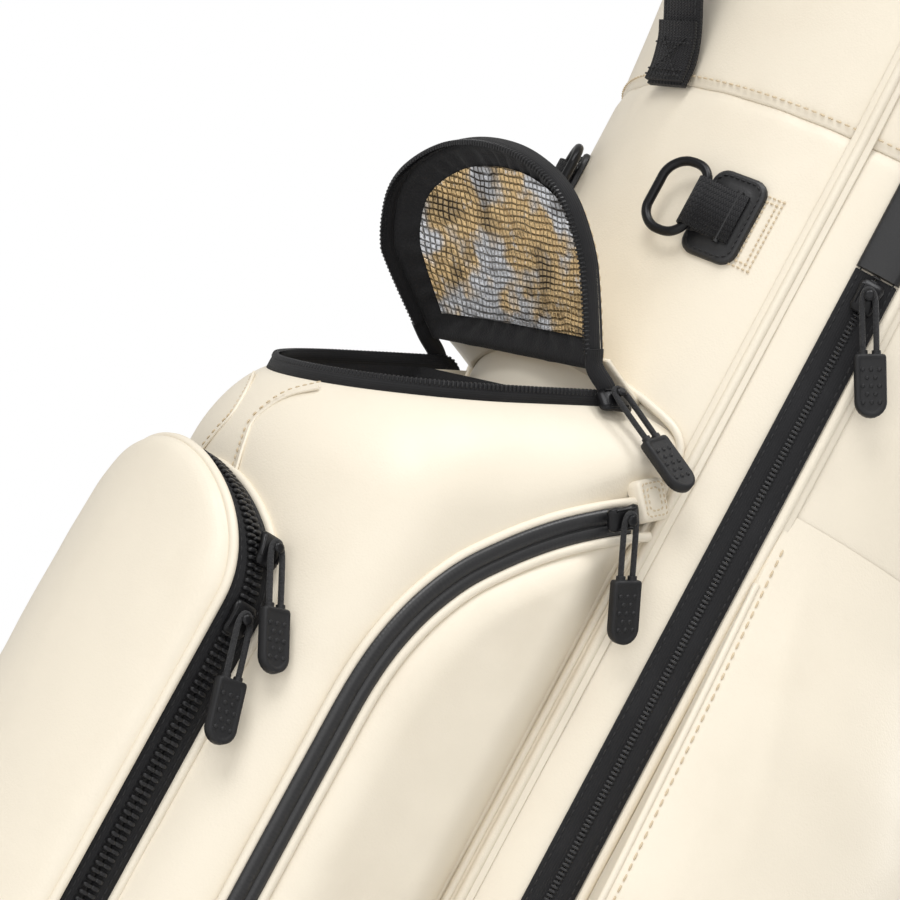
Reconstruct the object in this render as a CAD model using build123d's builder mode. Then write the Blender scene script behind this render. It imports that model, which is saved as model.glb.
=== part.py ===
"""Golf staff bag: a round barrel with a front cooler and ball pocket, side pockets, collar and strap.

Millimetres. +Z is up, the front of the bag faces -Y, and the origin is the centre of the footprint.
Angles named theta are measured round the barrel from the front (-Y) towards +X.
"""

import os
from math import cos, pi, radians, sin, sqrt

from build123d import *

# ---------------------------------------------------------------- driving dimensions
BAG_HEIGHT = 890.0  # floor to the top of the collar
BODY_R = 118.0  # outside of the leather on the straight barrel
TUBE_R = 110.0  # outside of the stiff inner tube
TUBE_T = 3.0
GAP = 0.2  # between curved faces that lie on each other
FEET_H = 8.0
BASE_TOP = 78.0  # top edge of the moulded base
SEAM_Z = 712.0  # seam between body and yoke
COLLAR_Z = 842.0  # underside of the collar
YOKE_R = 127.0  # yoke radius under the collar
COLLAR_R = 131.0
WELL_R = 103.5  # reach of the divider grid

RIM_SLOPE = 26.6  # the cooler's mouth falls towards the front, in degrees
RIM_FRONT_Y = -204.0
RIM_FRONT_Z = 531.5
HINGE_Y = -121.5  # line that the cooler lid turns about
LID_OPEN = 75.0  # how far the lid is turned up from closed
LID_LENGTH = (HINGE_Y - RIM_FRONT_Y) / cos(radians(RIM_SLOPE))
LID_RISE = 12.0  # depth of the lid's dome

STACK_BOTTOM = 150.0
STACK_SPLIT = 428.0  # floor between ball pocket and cooler
STACK_TOP = 600.0
SIDE_X = 86.0  # half width of the front stack
CROWN_Y = -101.0  # centre of the crowned front
CROWN_R = 131.0  # crown radius at the ball pocket's front edge
CROWN_BACK_R = 113.0  # crown radius of the stack's own front wall
CROWN_MID_R = 122.4  # where the two halves of the ball zip meet
FLAP_R = 138.0  # outside of the ball pocket's front panel
FLAP_HALF_W = 61.0
FLAP_BOTTOM = 158.0
FLAP_TOP = 488.0
ARCH_RISE = 48.0  # height of the rounded top of the ball pocket

ZIP_THETA = 59.6  # long side zip
ZIP_HALF = 4.3  # half its width, in degrees
ZIP_BOTTOM = 112.0
ZIP_TOP = 667.0
SIDE_POCKET = (66.0, 150.0)  # apparel pocket, from and to theta
DRING_THETA = 25.5
DRING_Z = 664.0
PULL_TILT = 28.5  # how far a pull on the right leans away from straight down, in degrees
CORD_R = 1.15
CORD_REACH = 22.0  # pin to tab
TAB = (12.0, 24.0, 4.6)  # pull tab: width, length and thickness

os.makedirs("parts", exist_ok=True)


# ---------------------------------------------------------------- helpers
def polar(r, theta, z=0.0):
    """Point at radius r, angle theta from the front and height z."""
    return Vector(r * sin(radians(theta)), -r * cos(radians(theta)), z)


def tangent(theta):
    """Horizontal direction round the barrel, towards growing theta."""
    return Vector(cos(radians(theta)), sin(radians(theta)), 0)


def save(builder, name):
    """Labels a finished piece and writes it as its own STEP file."""
    part = builder.part if isinstance(builder, BuildPart) else builder
    part.label = name
    export_step(part, f"parts/{name}.step")
    print(name, len(part.solids()), round(part.volume))


def tube(r_in, r_out, z0, z1):
    """Plain hollow cylinder about Z."""
    with BuildPart() as made:
        with BuildSketch(Plane.XY.offset(z0)):
            Circle(r_out)
            Circle(r_in, mode=Mode.SUBTRACT)
        extrude(amount=z1 - z0)
    return made.part


def turned(points, theta0, theta1):
    """Solid of a (radius, height) outline turned about Z from theta0 to theta1."""
    section = Plane(origin=(0, 0, 0), x_dir=tuple(polar(1, theta0)), z_dir=tuple(-tangent(theta0)))
    with BuildPart() as made:
        with BuildSketch(section):
            with BuildLine():
                Polyline(*points, close=True)
            make_face()
        revolve(axis=Axis.Z, revolution_arc=theta1 - theta0)
    return made.part


def crown(r_in, r_out, z0, z1):
    """Ring about the vertical line that the front is crowned about."""
    with BuildPart() as made:
        with BuildSketch(Plane.XY.offset(z0)):
            with Locations((0, CROWN_Y)):
                Circle(r_out)
                Circle(r_in, mode=Mode.SUBTRACT)
        extrude(amount=z1 - z0)
    return made.part


def prism_y(plan, y0, y1):
    """Extrudes a plan drawn in (x, z) from y0 forward to y1."""
    with BuildPart() as made:
        with BuildSketch(Plane(origin=(0, y0, 0), x_dir=(1, 0, 0), z_dir=(0, -1, 0))):
            add(plan)
        extrude(amount=y0 - y1)
    return made.part


def prism_z(plan, z0, z1):
    """Extrudes a plan drawn in (x, y) from z0 to z1."""
    with BuildPart() as made:
        with BuildSketch(Plane.XY.offset(z0)):
            add(plan)
        extrude(amount=z1 - z0)
    return made.part


def mirrored_plan(right_half, front):
    """Plan that is the same left and right: points of the right half, closed by an arc through the front."""
    left_half = [(-x, y) for x, y in reversed(right_half)]
    with BuildSketch() as plan:
        with BuildLine():
            Polyline(*right_half)
            ThreePointArc(right_half[-1], front, left_half[0])
            Polyline(*left_half, right_half[0])
        make_face()
    return plan.sketch


def arch_plan(inset):
    """Ball pocket seen from the front: square at the bottom, round at the top."""
    half = FLAP_HALF_W - inset
    bottom = FLAP_BOTTOM + inset
    arch_z = FLAP_TOP - ARCH_RISE
    with BuildSketch() as plan:
        with BuildLine():
            Polyline((-half, arch_z), (-half, bottom), (half, bottom), (half, arch_z))
            EllipticalCenterArc((0, arch_z), half, ARCH_RISE - inset, start_angle=0, arc_size=180)
        make_face()
    return plan.sketch


def stack_plan(inset):
    """Front stack from above, with a crowned front; it runs back into the barrel."""
    side = SIDE_X - inset
    crown_r = CROWN_BACK_R - inset
    half = FLAP_HALF_W + 3 - inset
    front_y = CROWN_Y - sqrt(crown_r**2 - half**2)
    right_half = [(side - 8, -84), (side, -122), (side - 1, -172 + inset / 2), (half, front_y)]
    return mirrored_plan(right_half, (0, CROWN_Y - crown_r))


def cooler_plan(inset):
    """Mouth of the cooler from above, in front of the hinge line."""
    half = 62.0 - inset
    right_half = [(half, HINGE_Y - inset), (half - 1.5, -162), (half - 15, -188 + inset)]
    return mirrored_plan(right_half, (0, RIM_FRONT_Y + inset))


def half_space(origin, normal):
    """Large block on the far side of a plane, for cutting."""
    with BuildPart() as made:
        with BuildSketch(Plane(origin=origin, z_dir=normal)):
            Rectangle(900, 900)
        extrude(amount=500)
    return made.part


def rim_plane_z(y):
    """Height of the cooler's mouth at depth y."""
    return RIM_FRONT_Z + (y - RIM_FRONT_Y) * (sin(radians(RIM_SLOPE)) / cos(radians(RIM_SLOPE)))


BARREL_KEEPOUT = tube(1.0, BODY_R + GAP, 0, BAG_HEIGHT)
RIM_NORMAL = (0, -sin(radians(RIM_SLOPE)), cos(radians(RIM_SLOPE)))


# ---------------------------------------------------------------- base, barrel and yoke
with BuildPart() as base_shell:
    with BuildSketch(Plane.XZ):
        with BuildLine():
            Polyline(
                (0, FEET_H), (112, FEET_H), (124, 18), (126, 40), (126, BASE_TOP - 3), (124, BASE_TOP),
                (BODY_R + GAP, BASE_TOP), (BODY_R + GAP, 16), (0, 16), close=True,
            )
        make_face()
    revolve(axis=Axis.Z)
    rib_edges = base_shell.edges().filter_by(GeomType.CIRCLE).group_by(Axis.Z)[-1]
    fillet(rib_edges.sort_by(SortBy.RADIUS)[-1], 1.2)
save(base_shell, "base_shell")

with BuildPart() as base_feet:
    with BuildSketch(Plane.XY):
        with PolarLocations(92, 4, start_angle=45):
            Circle(15)
        Circle(30)
    extrude(amount=FEET_H)
    fillet(base_feet.edges().group_by(Axis.Z)[0], 2.5)
save(base_feet, "base_feet")

with BuildPart() as floor_pad:
    with BuildSketch(Plane.XY.offset(16)):
        Circle(TUBE_R - TUBE_T - 0.5)
    extrude(amount=6)
save(floor_pad, "floor_pad")

save(tube(TUBE_R - TUBE_T, TUBE_R, 16, COLLAR_Z), "barrel_tube")
save(tube(TUBE_R + GAP, BODY_R, 16.3, SEAM_Z), "body_skin")

with BuildPart() as yoke_skin:
    with BuildSketch(Plane.XZ):
        with BuildLine():
            Polyline(
                (TUBE_R + GAP, SEAM_Z), (BODY_R, SEAM_Z), (YOKE_R - 3, COLLAR_Z - 70), (YOKE_R, COLLAR_Z),
                (TUBE_R + GAP, COLLAR_Z), close=True,
            )
        make_face()
    revolve(axis=Axis.Z)
save(yoke_skin, "yoke_skin")

with BuildPart() as spine_rods:
    with BuildSketch(Plane.XY.offset(22)):
        with Locations(tuple(polar(102, 147))[:2], tuple(polar(102, -147))[:2]):
            Circle(3.5)
    extrude(amount=COLLAR_Z - 22)
save(spine_rods, "spine_rods")

# ---------------------------------------------------------------- collar, grid and sleeves
COLLAR_IN = 104.0
with BuildPart() as top_collar:
    with BuildSketch(Plane.XZ):
        with BuildLine():
            Polyline(
                (COLLAR_IN, COLLAR_Z), (COLLAR_R, COLLAR_Z), (COLLAR_R, COLLAR_Z + 34), (COLLAR_R - 5, BAG_HEIGHT - 3),
                (COLLAR_R - 11, BAG_HEIGHT), (COLLAR_IN + 8, BAG_HEIGHT - 1), (COLLAR_IN, BAG_HEIGHT - 9), close=True,
            )
        make_face()
    revolve(axis=Axis.Z)
save(top_collar, "top_collar")

with BuildPart() as collar_band:
    with BuildSketch(Plane.XZ):
        with BuildLine():
            Polyline(
                (COLLAR_R + GAP, COLLAR_Z + 2), (COLLAR_R + 3, COLLAR_Z + 2), (COLLAR_R + 4.5, COLLAR_Z + 15),
                (COLLAR_R + 3, COLLAR_Z + 28), (COLLAR_R + GAP, COLLAR_Z + 28), close=True,
            )
        make_face()
    revolve(axis=Axis.Z)
save(collar_band, "collar_band")

# Fourteen wells: rows of 2, 3, 4, 3 and 2, front to back.
ROW_WALLS = (-64.0, -22.0, 22.0, 64.0)
ROW_SPLITS = ((0.0,), (-32.0, 32.0), (-51.0, 0.0, 51.0), (-32.0, 32.0), (0.0,))


def divider_walls(reach, thick, z0, z1):
    """Upright walls between the wells, each its own solid, cut round to the reach."""
    with BuildPart() as walls:
        with BuildSketch(Plane.XY.offset(z0)) as plan:
            for y in ROW_WALLS:
                with Locations((0, y)):
                    Rectangle(2 * sqrt(reach**2 - (abs(y) + thick / 2) ** 2), thick)
        extrude(amount=z1 - z0)
    pieces = list(walls.part.solids())
    rows = (-reach, *ROW_WALLS, reach)
    for low, high, splits in zip(rows, rows[1:], ROW_SPLITS):
        for x in splits:
            lo = -sqrt(reach**2 - (abs(x) + thick / 2) ** 2) if low == -reach else low + thick / 2
            hi = sqrt(reach**2 - (abs(x) + thick / 2) ** 2) if high == reach else high - thick / 2
            with BuildPart() as wall:
                with BuildSketch(Plane.XY.offset(z0)):
                    with Locations((x, (lo + hi) / 2)):
                        Rectangle(thick, hi - lo)
                extrude(amount=z1 - z0)
            pieces.extend(wall.part.solids())
    return Compound(children=pieces)


save(divider_walls(WELL_R, 4.4, COLLAR_Z + 0.2, BAG_HEIGHT - 12), "divider_grid")
save(divider_walls(TUBE_R - TUBE_T - 0.4, 1.8, 22.2, COLLAR_Z), "divider_sleeves")


# ---------------------------------------------------------------- handles and strap
def band(points, radii, half_width, thick, x=0.0):
    """Flat strap of one thickness: a rounded path in (y, z) made into a band and extruded across X."""
    with BuildPart() as made:
        with BuildSketch(Plane(origin=(x - half_width, 0, 0), x_dir=(0, 1, 0), z_dir=(1, 0, 0))):
            with BuildLine() as path:
                FilletPolyline(*points, radius=radii)
            trace(path.line, line_width=thick)
        extrude(amount=2 * half_width)
    return made.part


# Webbing grab handle on the front of the yoke, sewn into the seam and under the collar.
save(
    band(
        ((-119.6, SEAM_Z - 3), (-121.5, SEAM_Z + 8), (-148, SEAM_Z + 50), (-148, COLLAR_Z - 42), (-130.6, COLLAR_Z - 6)),
        (15, 40, 40), 13, 2.4,
    ),
    "front_handle",
)

with BuildPart() as rear_handle:
    grip_z = COLLAR_Z + 15
    with BuildLine():
        grip = FilletPolyline(
            (-58, COLLAR_R - 8, grip_z), (-52, 172, grip_z), (52, 172, grip_z), (58, COLLAR_R - 8, grip_z), radius=22
        )
    with BuildSketch(Plane(origin=grip @ 0, z_dir=grip % 0)):
        Ellipse(9, 7)
    sweep()
    add(tube(1, COLLAR_R + 4.8, COLLAR_Z - 5, BAG_HEIGHT), mode=Mode.SUBTRACT)
save(rear_handle, "rear_handle")

STRAP_PATH = ((119.6, 190), (119.6, 222), (163, 330), (176, 500), (163, 668), (127, 770), (128.2, 810))
save(band(STRAP_PATH, (20, 120, 200, 120, 30), 19, 2.6), "strap_webbing")

with BuildPart() as strap_pad:
    with BuildSketch(Plane(origin=(-32, 0, 0), x_dir=(0, 1, 0), z_dir=(1, 0, 0))):
        with BuildLine() as pad_path:
            FilletPolyline((161.8, 360), (176 + 7.6, 500), (161.8, 640), radius=400)
        trace(pad_path.line, line_width=11)
    extrude(amount=64)
    strap_hollow = band(STRAP_PATH, (20, 120, 200, 120, 30), 19.4, 3.2)
    add(strap_hollow, mode=Mode.SUBTRACT)
save(strap_pad, "strap_pad")


with BuildPart() as strap_plates:
    for y, z in ((121.3, 200), (130.0, 794)):
        with BuildSketch(Plane.XZ.offset(-y)):
            with Locations((0, z)):
                RectangleRounded(50, 20, 5)
        extrude(amount=-3.0)
save(strap_plates, "strap_plates")


# ---------------------------------------------------------------- front stack
with BuildPart() as ball_shelf:
    with Locations((0, -190, STACK_BOTTOM + 2.5)):
        Box(2 * FLAP_HALF_W - 4, 90, 5)
    add(crown(CROWN_BACK_R - 6, CROWN_R - 1.5, STACK_BOTTOM - 1, STACK_BOTTOM + 6), mode=Mode.INTERSECT)

with BuildPart() as ball_pocket_shell:
    add(prism_z(stack_plan(0), STACK_BOTTOM, STACK_SPLIT))
    add(ball_shelf.part)
    add(prism_z(stack_plan(4.5), STACK_BOTTOM + 5, STACK_SPLIT - 4), mode=Mode.SUBTRACT)
    add(prism_y(arch_plan(3.2), -160, -240), mode=Mode.SUBTRACT)
    add(BARREL_KEEPOUT, mode=Mode.SUBTRACT)
save(ball_pocket_shell, "ball_pocket_shell")

SHOULDER = Vector(66, -103, 583)  # point on the slope beside the cooler's mouth
SHOULDER_OUT = Vector(0.72, -0.30, 0.625)
with BuildPart() as cooler_wall:
    add(prism_z(stack_plan(0), STACK_SPLIT + GAP, STACK_TOP))
    add(half_space((0, RIM_FRONT_Y, RIM_FRONT_Z), RIM_NORMAL), mode=Mode.SUBTRACT)
    for side in (1, -1):
        add(half_space((side * SHOULDER.X, SHOULDER.Y, SHOULDER.Z),
                       (side * SHOULDER_OUT.X, SHOULDER_OUT.Y, SHOULDER_OUT.Z)), mode=Mode.SUBTRACT)
    add(prism_z(cooler_plan(3.6), STACK_SPLIT + 6, STACK_TOP + 10), mode=Mode.SUBTRACT)
    add(BARREL_KEEPOUT, mode=Mode.SUBTRACT)
save(cooler_wall, "cooler_wall")

with BuildPart() as cooler_liner:
    add(prism_z(cooler_plan(3.8), STACK_SPLIT + 6.2, STACK_TOP + 10))
    add(prism_z(cooler_plan(6.4), STACK_SPLIT + 9, STACK_TOP + 10), mode=Mode.SUBTRACT)
    add(half_space((0, RIM_FRONT_Y, RIM_FRONT_Z - 4), RIM_NORMAL), mode=Mode.SUBTRACT)
save(cooler_liner, "cooler_liner")

# Zip tape standing on the mouth of the cooler, round the sides and the front.
with BuildPart() as cooler_rim_zip:
    add(prism_z(cooler_plan(0.2), STACK_SPLIT, STACK_TOP + 10))
    add(prism_z(cooler_plan(3.2), STACK_SPLIT - 1, STACK_TOP + 11), mode=Mode.SUBTRACT)
    add(half_space((0, RIM_FRONT_Y, RIM_FRONT_Z + 5.6), RIM_NORMAL), mode=Mode.SUBTRACT)
    add(half_space((0, RIM_FRONT_Y, RIM_FRONT_Z + 0.2), (-RIM_NORMAL[0], -RIM_NORMAL[1], -RIM_NORMAL[2])),
        mode=Mode.SUBTRACT)
    with Locations((0, HINGE_Y + 10, STACK_TOP - 60)):
        Box(200, 26, 200, mode=Mode.SUBTRACT)
    for x in (58.8, -61.8):
        with BuildSketch(Plane(origin=(x, 0, 0), x_dir=(0, 1, 0), z_dir=(1, 0, 0))):
            with BuildLine():
                Polyline(
                    (-124.6, rim_plane_z(-124.6) + 0.2), (-109, rim_plane_z(-109) + 0.2),
                    (-109, rim_plane_z(-109) + 5.6), (-124.6, rim_plane_z(-124.6) + 5.6), close=True,
                )
            make_face()
        extrude(amount=3.0)
save(cooler_rim_zip, "cooler_rim_zip")

# ---------------------------------------------------------------- cooler lid, in its open position
HINGE_Z = rim_plane_z(HINGE_Y) + 12.0
lid_angle = radians(LID_OPEN - RIM_SLOPE)
lid_along = Vector(0, -cos(lid_angle), sin(lid_angle))
lid_up = Vector(0, sin(lid_angle), cos(lid_angle))
lid_frame = Plane(origin=(0, HINGE_Y, HINGE_Z), x_dir=(-1, 0, 0), z_dir=tuple(lid_up))
lid_side = Plane(origin=(90, HINGE_Y, HINGE_Z), x_dir=tuple(lid_along), z_dir=(-1, 0, 0))


def lid_plan(inset):
    """Lid in its own plane: a straight hinge side and a rounded front."""
    half = 62.0 - inset
    right_half = [(half, 3 + inset), (half - 1.5, 45), (half - 15, LID_LENGTH - 18 - inset)]
    return mirrored_plan(right_half, (0, LID_LENGTH - inset))


def lid_slab(inset, low, high):
    """Lid plan extruded between two heights above its own plane."""
    with BuildPart() as slab:
        with BuildSketch(lid_frame.offset(low)):
            add(lid_plan(inset))
        extrude(amount=high - low)
    return slab.part


def lid_body(inset, low, high, root):
    """Lid between two heights, thinner at the hinge and at the front."""
    with BuildPart() as body:
        add(lid_slab(inset, low - 1, high + 1))
        with BuildSketch(lid_side):
            with BuildLine():
                Polyline(
                    (0, low), (0, root), (26, high), (LID_LENGTH - 12, high), (LID_LENGTH + 5, high - 6),
                    (LID_LENGTH + 5, low), close=True,
                )
            make_face()
        extrude(amount=180, mode=Mode.INTERSECT)
    return body.part


with BuildPart() as cooler_lid:
    add(lid_body(0.0, 0.0, LID_RISE, 5.0))
    add(lid_body(3.0, -1.0, LID_RISE - 2.6, 2.4), mode=Mode.SUBTRACT)
save(cooler_lid, "cooler_lid")

with BuildPart() as cooler_lid_liner:
    add(lid_body(3.3, 1.2, LID_RISE - 3.0, 2.1))
    add(lid_body(5.0, 0.0, LID_RISE - 4.8, 1.0), mode=Mode.SUBTRACT)
save(cooler_lid_liner, "cooler_lid_liner")

with BuildPart() as cooler_lid_zip:
    add(lid_slab(0.2, -5.4, -0.2))
    add(lid_slab(3.2, -7.0, 1.0), mode=Mode.SUBTRACT)
    with BuildSketch(lid_side):
        Rectangle(16, 60)
    extrude(amount=180, mode=Mode.SUBTRACT)
save(cooler_lid_zip, "cooler_lid_zip")

# ---------------------------------------------------------------- ball pocket front
with BuildPart() as ball_flap:
    add(prism_y(arch_plan(0), -180, -260))
    add(crown(CROWN_R + 0.3, FLAP_R, 0, BAG_HEIGHT), mode=Mode.INTERSECT)
save(ball_flap, "ball_flap")


def ball_tape(r_in, r_out, name):
    """One half of the zip that runs up one side of the ball pocket, over the top and down the other."""
    with BuildPart() as tape:
        add(prism_y(arch_plan(0), -180, -260))
        add(prism_y(arch_plan(2.6), -170, -270), mode=Mode.SUBTRACT)
        add(crown(r_in, r_out, FLAP_BOTTOM + 30, BAG_HEIGHT), mode=Mode.INTERSECT)
    save(tape, name)


ball_tape(CROWN_BACK_R + GAP, CROWN_MID_R, "ball_zip_inner")
ball_tape(CROWN_MID_R + 0.3, CROWN_R, "ball_zip_outer")


# ---------------------------------------------------------------- side pockets
def accessory_plan(inset):
    """Accessory pocket from the side, in (y, z): its mouth falls in a curve towards the front."""
    front = -171 + inset
    back = -96 - inset / 2
    foot = 182 + inset
    with BuildSketch() as plan:
        with BuildLine():
            mouth = Spline(
                (back, 548 - inset * 1.2), (-127, 524 - inset), (-155 + inset * 0.8, 491 - inset * 0.7), (front, 443)
            )
            Polyline(mouth @ 1, (front, 200 + inset), (-150, foot), (back, foot), mouth @ 0)
        make_face()
    return plan.sketch


def accessory_slab(inset, x0, x1):
    """Accessory pocket extruded across X."""
    with BuildPart() as made:
        with BuildSketch(Plane(origin=(x0, 0, 0), x_dir=(0, 1, 0), z_dir=(1, 0, 0))):
            add(accessory_plan(inset))
        extrude(amount=x1 - x0)
    return made.part


with BuildPart() as accessory_pocket:
    add(accessory_slab(13.0, SIDE_X + 0.3, SIDE_X + 10))

with BuildPart() as accessory_zip:
    add(accessory_slab(0.0, SIDE_X + 0.3, SIDE_X + 7))
    add(accessory_slab(10.8, SIDE_X, SIDE_X + 8), mode=Mode.SUBTRACT)
    with Locations((SIDE_X, -125, 170)):
        Box(60, 120, 90, mode=Mode.SUBTRACT)
    with Locations((SIDE_X, -96, 322)):
        Box(60, 28, 386, mode=Mode.SUBTRACT)

with BuildPart() as apparel_pocket:
    add(turned(
        ((BODY_R + GAP, 112), (142, 122), (150, 150), (150, 330), (144, 420), (BODY_R + 3, 562), (BODY_R + GAP, 562)),
        *SIDE_POCKET))
    add(turned(
        ((BODY_R - 1, 117), (139, 126), (145.5, 152), (145.5, 329), (139.7, 418), (BODY_R - 1, 541)),
        SIDE_POCKET[0] + 2, SIDE_POCKET[1] - 2), mode=Mode.SUBTRACT)

with BuildPart() as long_zip:
    add(turned(
        ((BODY_R + GAP, ZIP_BOTTOM), (BODY_R + 2.2, ZIP_BOTTOM), (BODY_R + 2.2, ZIP_TOP), (BODY_R + GAP, ZIP_TOP)),
        ZIP_THETA - ZIP_HALF, ZIP_THETA + ZIP_HALF))

with BuildPart() as zip_garage:
    add(turned(
        ((BODY_R + GAP, ZIP_TOP + 0.3), (BODY_R + 4.2, ZIP_TOP + 0.3), (BODY_R + 3.4, SEAM_Z),
         (YOKE_R + 0.4, COLLAR_Z - 70), (YOKE_R + 3, COLLAR_Z - 1), (YOKE_R + GAP, COLLAR_Z - 1),
         (YOKE_R - 3 + GAP, COLLAR_Z - 70), (BODY_R + GAP, SEAM_Z)),
        ZIP_THETA - ZIP_HALF - 0.2, ZIP_THETA + ZIP_HALF + 0.2))

for made, stem in ((accessory_pocket, "accessory_pocket"), (apparel_pocket, "apparel_pocket")):
    save(made, f"{stem}_right")
    save(Part(made.part.mirror(Plane.YZ).wrapped), f"{stem}_left")

# The trims are the same on both sides, so each pair is one node.
for made, stem in ((accessory_zip, "accessory_zips"), (long_zip, "long_zips"), (zip_garage, "zip_covers")):
    with BuildPart() as both_sides:
        add(made.part)
        mirror(about=Plane.YZ)
    save(both_sides, stem)


# ---------------------------------------------------------------- D rings on the front
def dring_frame(theta, lift):
    """Frame on the barrel: X round the barrel towards the front, Y up, Z outward."""
    toward_front = -tangent(theta) if theta > 0 else tangent(theta)
    return Plane(origin=tuple(polar(BODY_R + lift, theta, DRING_Z)), x_dir=tuple(toward_front),
                 z_dir=tuple(polar(1, theta)))


BAR = dring_frame(DRING_THETA, 6.4)
BAR_SHIFT = BAR.x_dir * 3.2

with BuildPart() as dring_plates:
    with BuildSketch(dring_frame(DRING_THETA, 0.3)):
        with Locations((-7, 0)):
            RectangleRounded(17, 37, 5)
    extrude(amount=2.0)
    add(BARREL_KEEPOUT, mode=Mode.SUBTRACT)
    mirror(about=Plane.YZ)
save(dring_plates, "dring_plates")

with BuildPart() as dring_slings:
    with BuildSketch(Plane(origin=BAR.origin + BAR_SHIFT * 0.92 - BAR.y_dir * 10, x_dir=BAR.x_dir, z_dir=BAR.y_dir)):
        Circle(3.9)
        Circle(2.7, mode=Mode.SUBTRACT)
    extrude(amount=20)
    mirror(about=Plane.YZ)
save(dring_slings, "dring_slings")

with BuildPart() as dring:
    with BuildSketch(Plane(origin=BAR.origin + BAR_SHIFT, x_dir=BAR.x_dir, z_dir=BAR.z_dir)):
        with Locations((9, 0)):
            RectangleRounded(22, 33, 8)
            RectangleRounded(15, 26, 5.5, mode=Mode.SUBTRACT)
    extrude(amount=1.8, both=True)
    fillet(dring.edges(), 1.1)
save(dring, "dring_right")
save(Part(dring.part.mirror(Plane.YZ).wrapped), "dring_left")
print("dring bar", [round(v / 1000, 5) for v in BAR.origin + BAR_SHIFT])


# ---------------------------------------------------------------- zip sliders and their pulls
def pull(stem, base, out, along, down):
    """Slider on a zip, a loop of cord round its pin and a rubber tab hanging on the cord."""
    pin_dir = (out - down * out.dot(down)).normalized()
    pin_base = base + out * 4.2
    with BuildPart() as slider:
        with BuildSketch(Plane(origin=base, x_dir=along, z_dir=out)):
            RectangleRounded(13, 10, 2.5)
        extrude(amount=4.2)
        with BuildSketch(Plane(origin=pin_base - pin_dir * 1.0, z_dir=pin_dir)):
            Circle(1.0)
        extrude(amount=4.8)
        with BuildSketch(Plane(origin=pin_base + pin_dir * 3.5, z_dir=pin_dir)):
            Circle(2.1)
        extrude(amount=0.9)
    save(slider, f"slider_{stem}")
    hang = Plane(origin=pin_base + pin_dir * 2.05, x_dir=-down, z_dir=pin_dir)
    fold = 2.5
    end = -(CORD_REACH + 3.0)
    with BuildPart() as cord:
        with BuildLine():
            route = ((end, fold), (-11, 2.7), (fold, fold), (fold, -fold), (-11, -2.7), (end, -fold))
            run = FilletPolyline(
                *[hang.from_local_coords(Vector(x, y, 0)) for x, y in route], radius=[300, 2.4, 2.4, 300]
            )
        with BuildSketch(Plane(origin=run @ 0, z_dir=run % 0)):
            Circle(CORD_R)
        sweep(path=run)
    save(cord, f"cord_{stem}")
    print("cord", stem, "fold radius", fold, "length", round(run.length, 1), "volume over run",
          round(cord.part.volume / (pi * CORD_R**2 * run.length), 3))
    with BuildPart() as tab:
        with BuildSketch(Plane(origin=hang.origin - pin_dir * TAB[2] / 2, x_dir=-down, z_dir=pin_dir)):
            with BuildLine():
                top = -CORD_REACH
                foot = -CORD_REACH - TAB[1] + TAB[0] / 2
                Polyline((foot, -TAB[0] / 2), (top, -TAB[0] / 2), (top, TAB[0] / 2), (foot, TAB[0] / 2))
                ThreePointArc((foot, TAB[0] / 2), (foot - TAB[0] / 2, 0), (foot, -TAB[0] / 2))
            make_face()
        extrude(amount=TAB[2])
        fillet(tab.edges().filter_by(lambda edge: edge.length > 8), 0.8)
        for side in (fold, -fold):
            with BuildSketch(Plane(origin=hang.from_local_coords(Vector(-CORD_REACH + 1, side, 0)), z_dir=down)):
                Circle(CORD_R + 0.15)
            extrude(amount=4.0, mode=Mode.SUBTRACT)
    save(tab, f"tab_{stem}")
    print("pin", stem, [round(v / 1000, 5) for v in hang.origin], [round(v, 4) for v in pin_dir])


UP = Vector(0, 0, 1)
lean = radians(PULL_TILT)
RIGHT = Vector(1, 0, 0)
zip_r = BODY_R + 2.5
zip_lean = tangent(ZIP_THETA) * sin(lean) - UP * cos(lean)
pull("zip_right", polar(zip_r, ZIP_THETA, 658), polar(1, ZIP_THETA), UP, zip_lean)
pull("zip_left", polar(zip_r, -ZIP_THETA, 658), polar(1, -ZIP_THETA), UP, -UP)

slope = Vector(0, 0.80, 0.60)
pull("accessory_right", Vector(SIDE_X + 7.3, -104, 539), RIGHT, slope, Vector(0, sin(lean), -cos(lean)))
pull("accessory_left", Vector(-SIDE_X - 7.3, -104, 539), -RIGHT, slope, -UP)

mouth_along = Vector(0, cos(radians(RIM_SLOPE)), sin(radians(RIM_SLOPE)))
shoulder_n = SHOULDER_OUT.normalized()
shoulder_along = (mouth_along - shoulder_n * mouth_along.dot(shoulder_n)).normalized()
drape = Vector(0.67, 0.58, -0.46)
pull("cooler", Vector(66, -114, 577.7) + shoulder_n * 0.35, shoulder_n, shoulder_along,
     (drape - shoulder_n * drape.dot(shoulder_n)).normalized())

zip_y = -(CROWN_MID_R**2 - FLAP_HALF_W**2) ** 0.5 + CROWN_Y
pull("ball_lower", Vector(FLAP_HALF_W + 0.3, zip_y, 437), RIGHT, UP, Vector(0.26, 0.16, -0.952).normalized())
pull("ball_upper", Vector(56.4, zip_y, 463.5), Vector(0.917, 0, 0.399).normalized(), Vector(-0.399, 0, 0.917).normalized(),
     Vector(0.36, 0.30, -0.88).normalized())
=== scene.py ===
"""Golf staff bag in cream coated leather: every visible piece and finish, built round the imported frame.

Lengths in this script are millimetres until a mesh is made; Blender and the frame are in metres.
The front of the bag faces -Y, and theta is measured round the barrel from the front towards +X.
"""

import logging
import math
from dataclasses import dataclass, field
from enum import Enum
from typing import Callable, Sequence

import bpy
from mathutils import Matrix, Vector, noise


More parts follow.
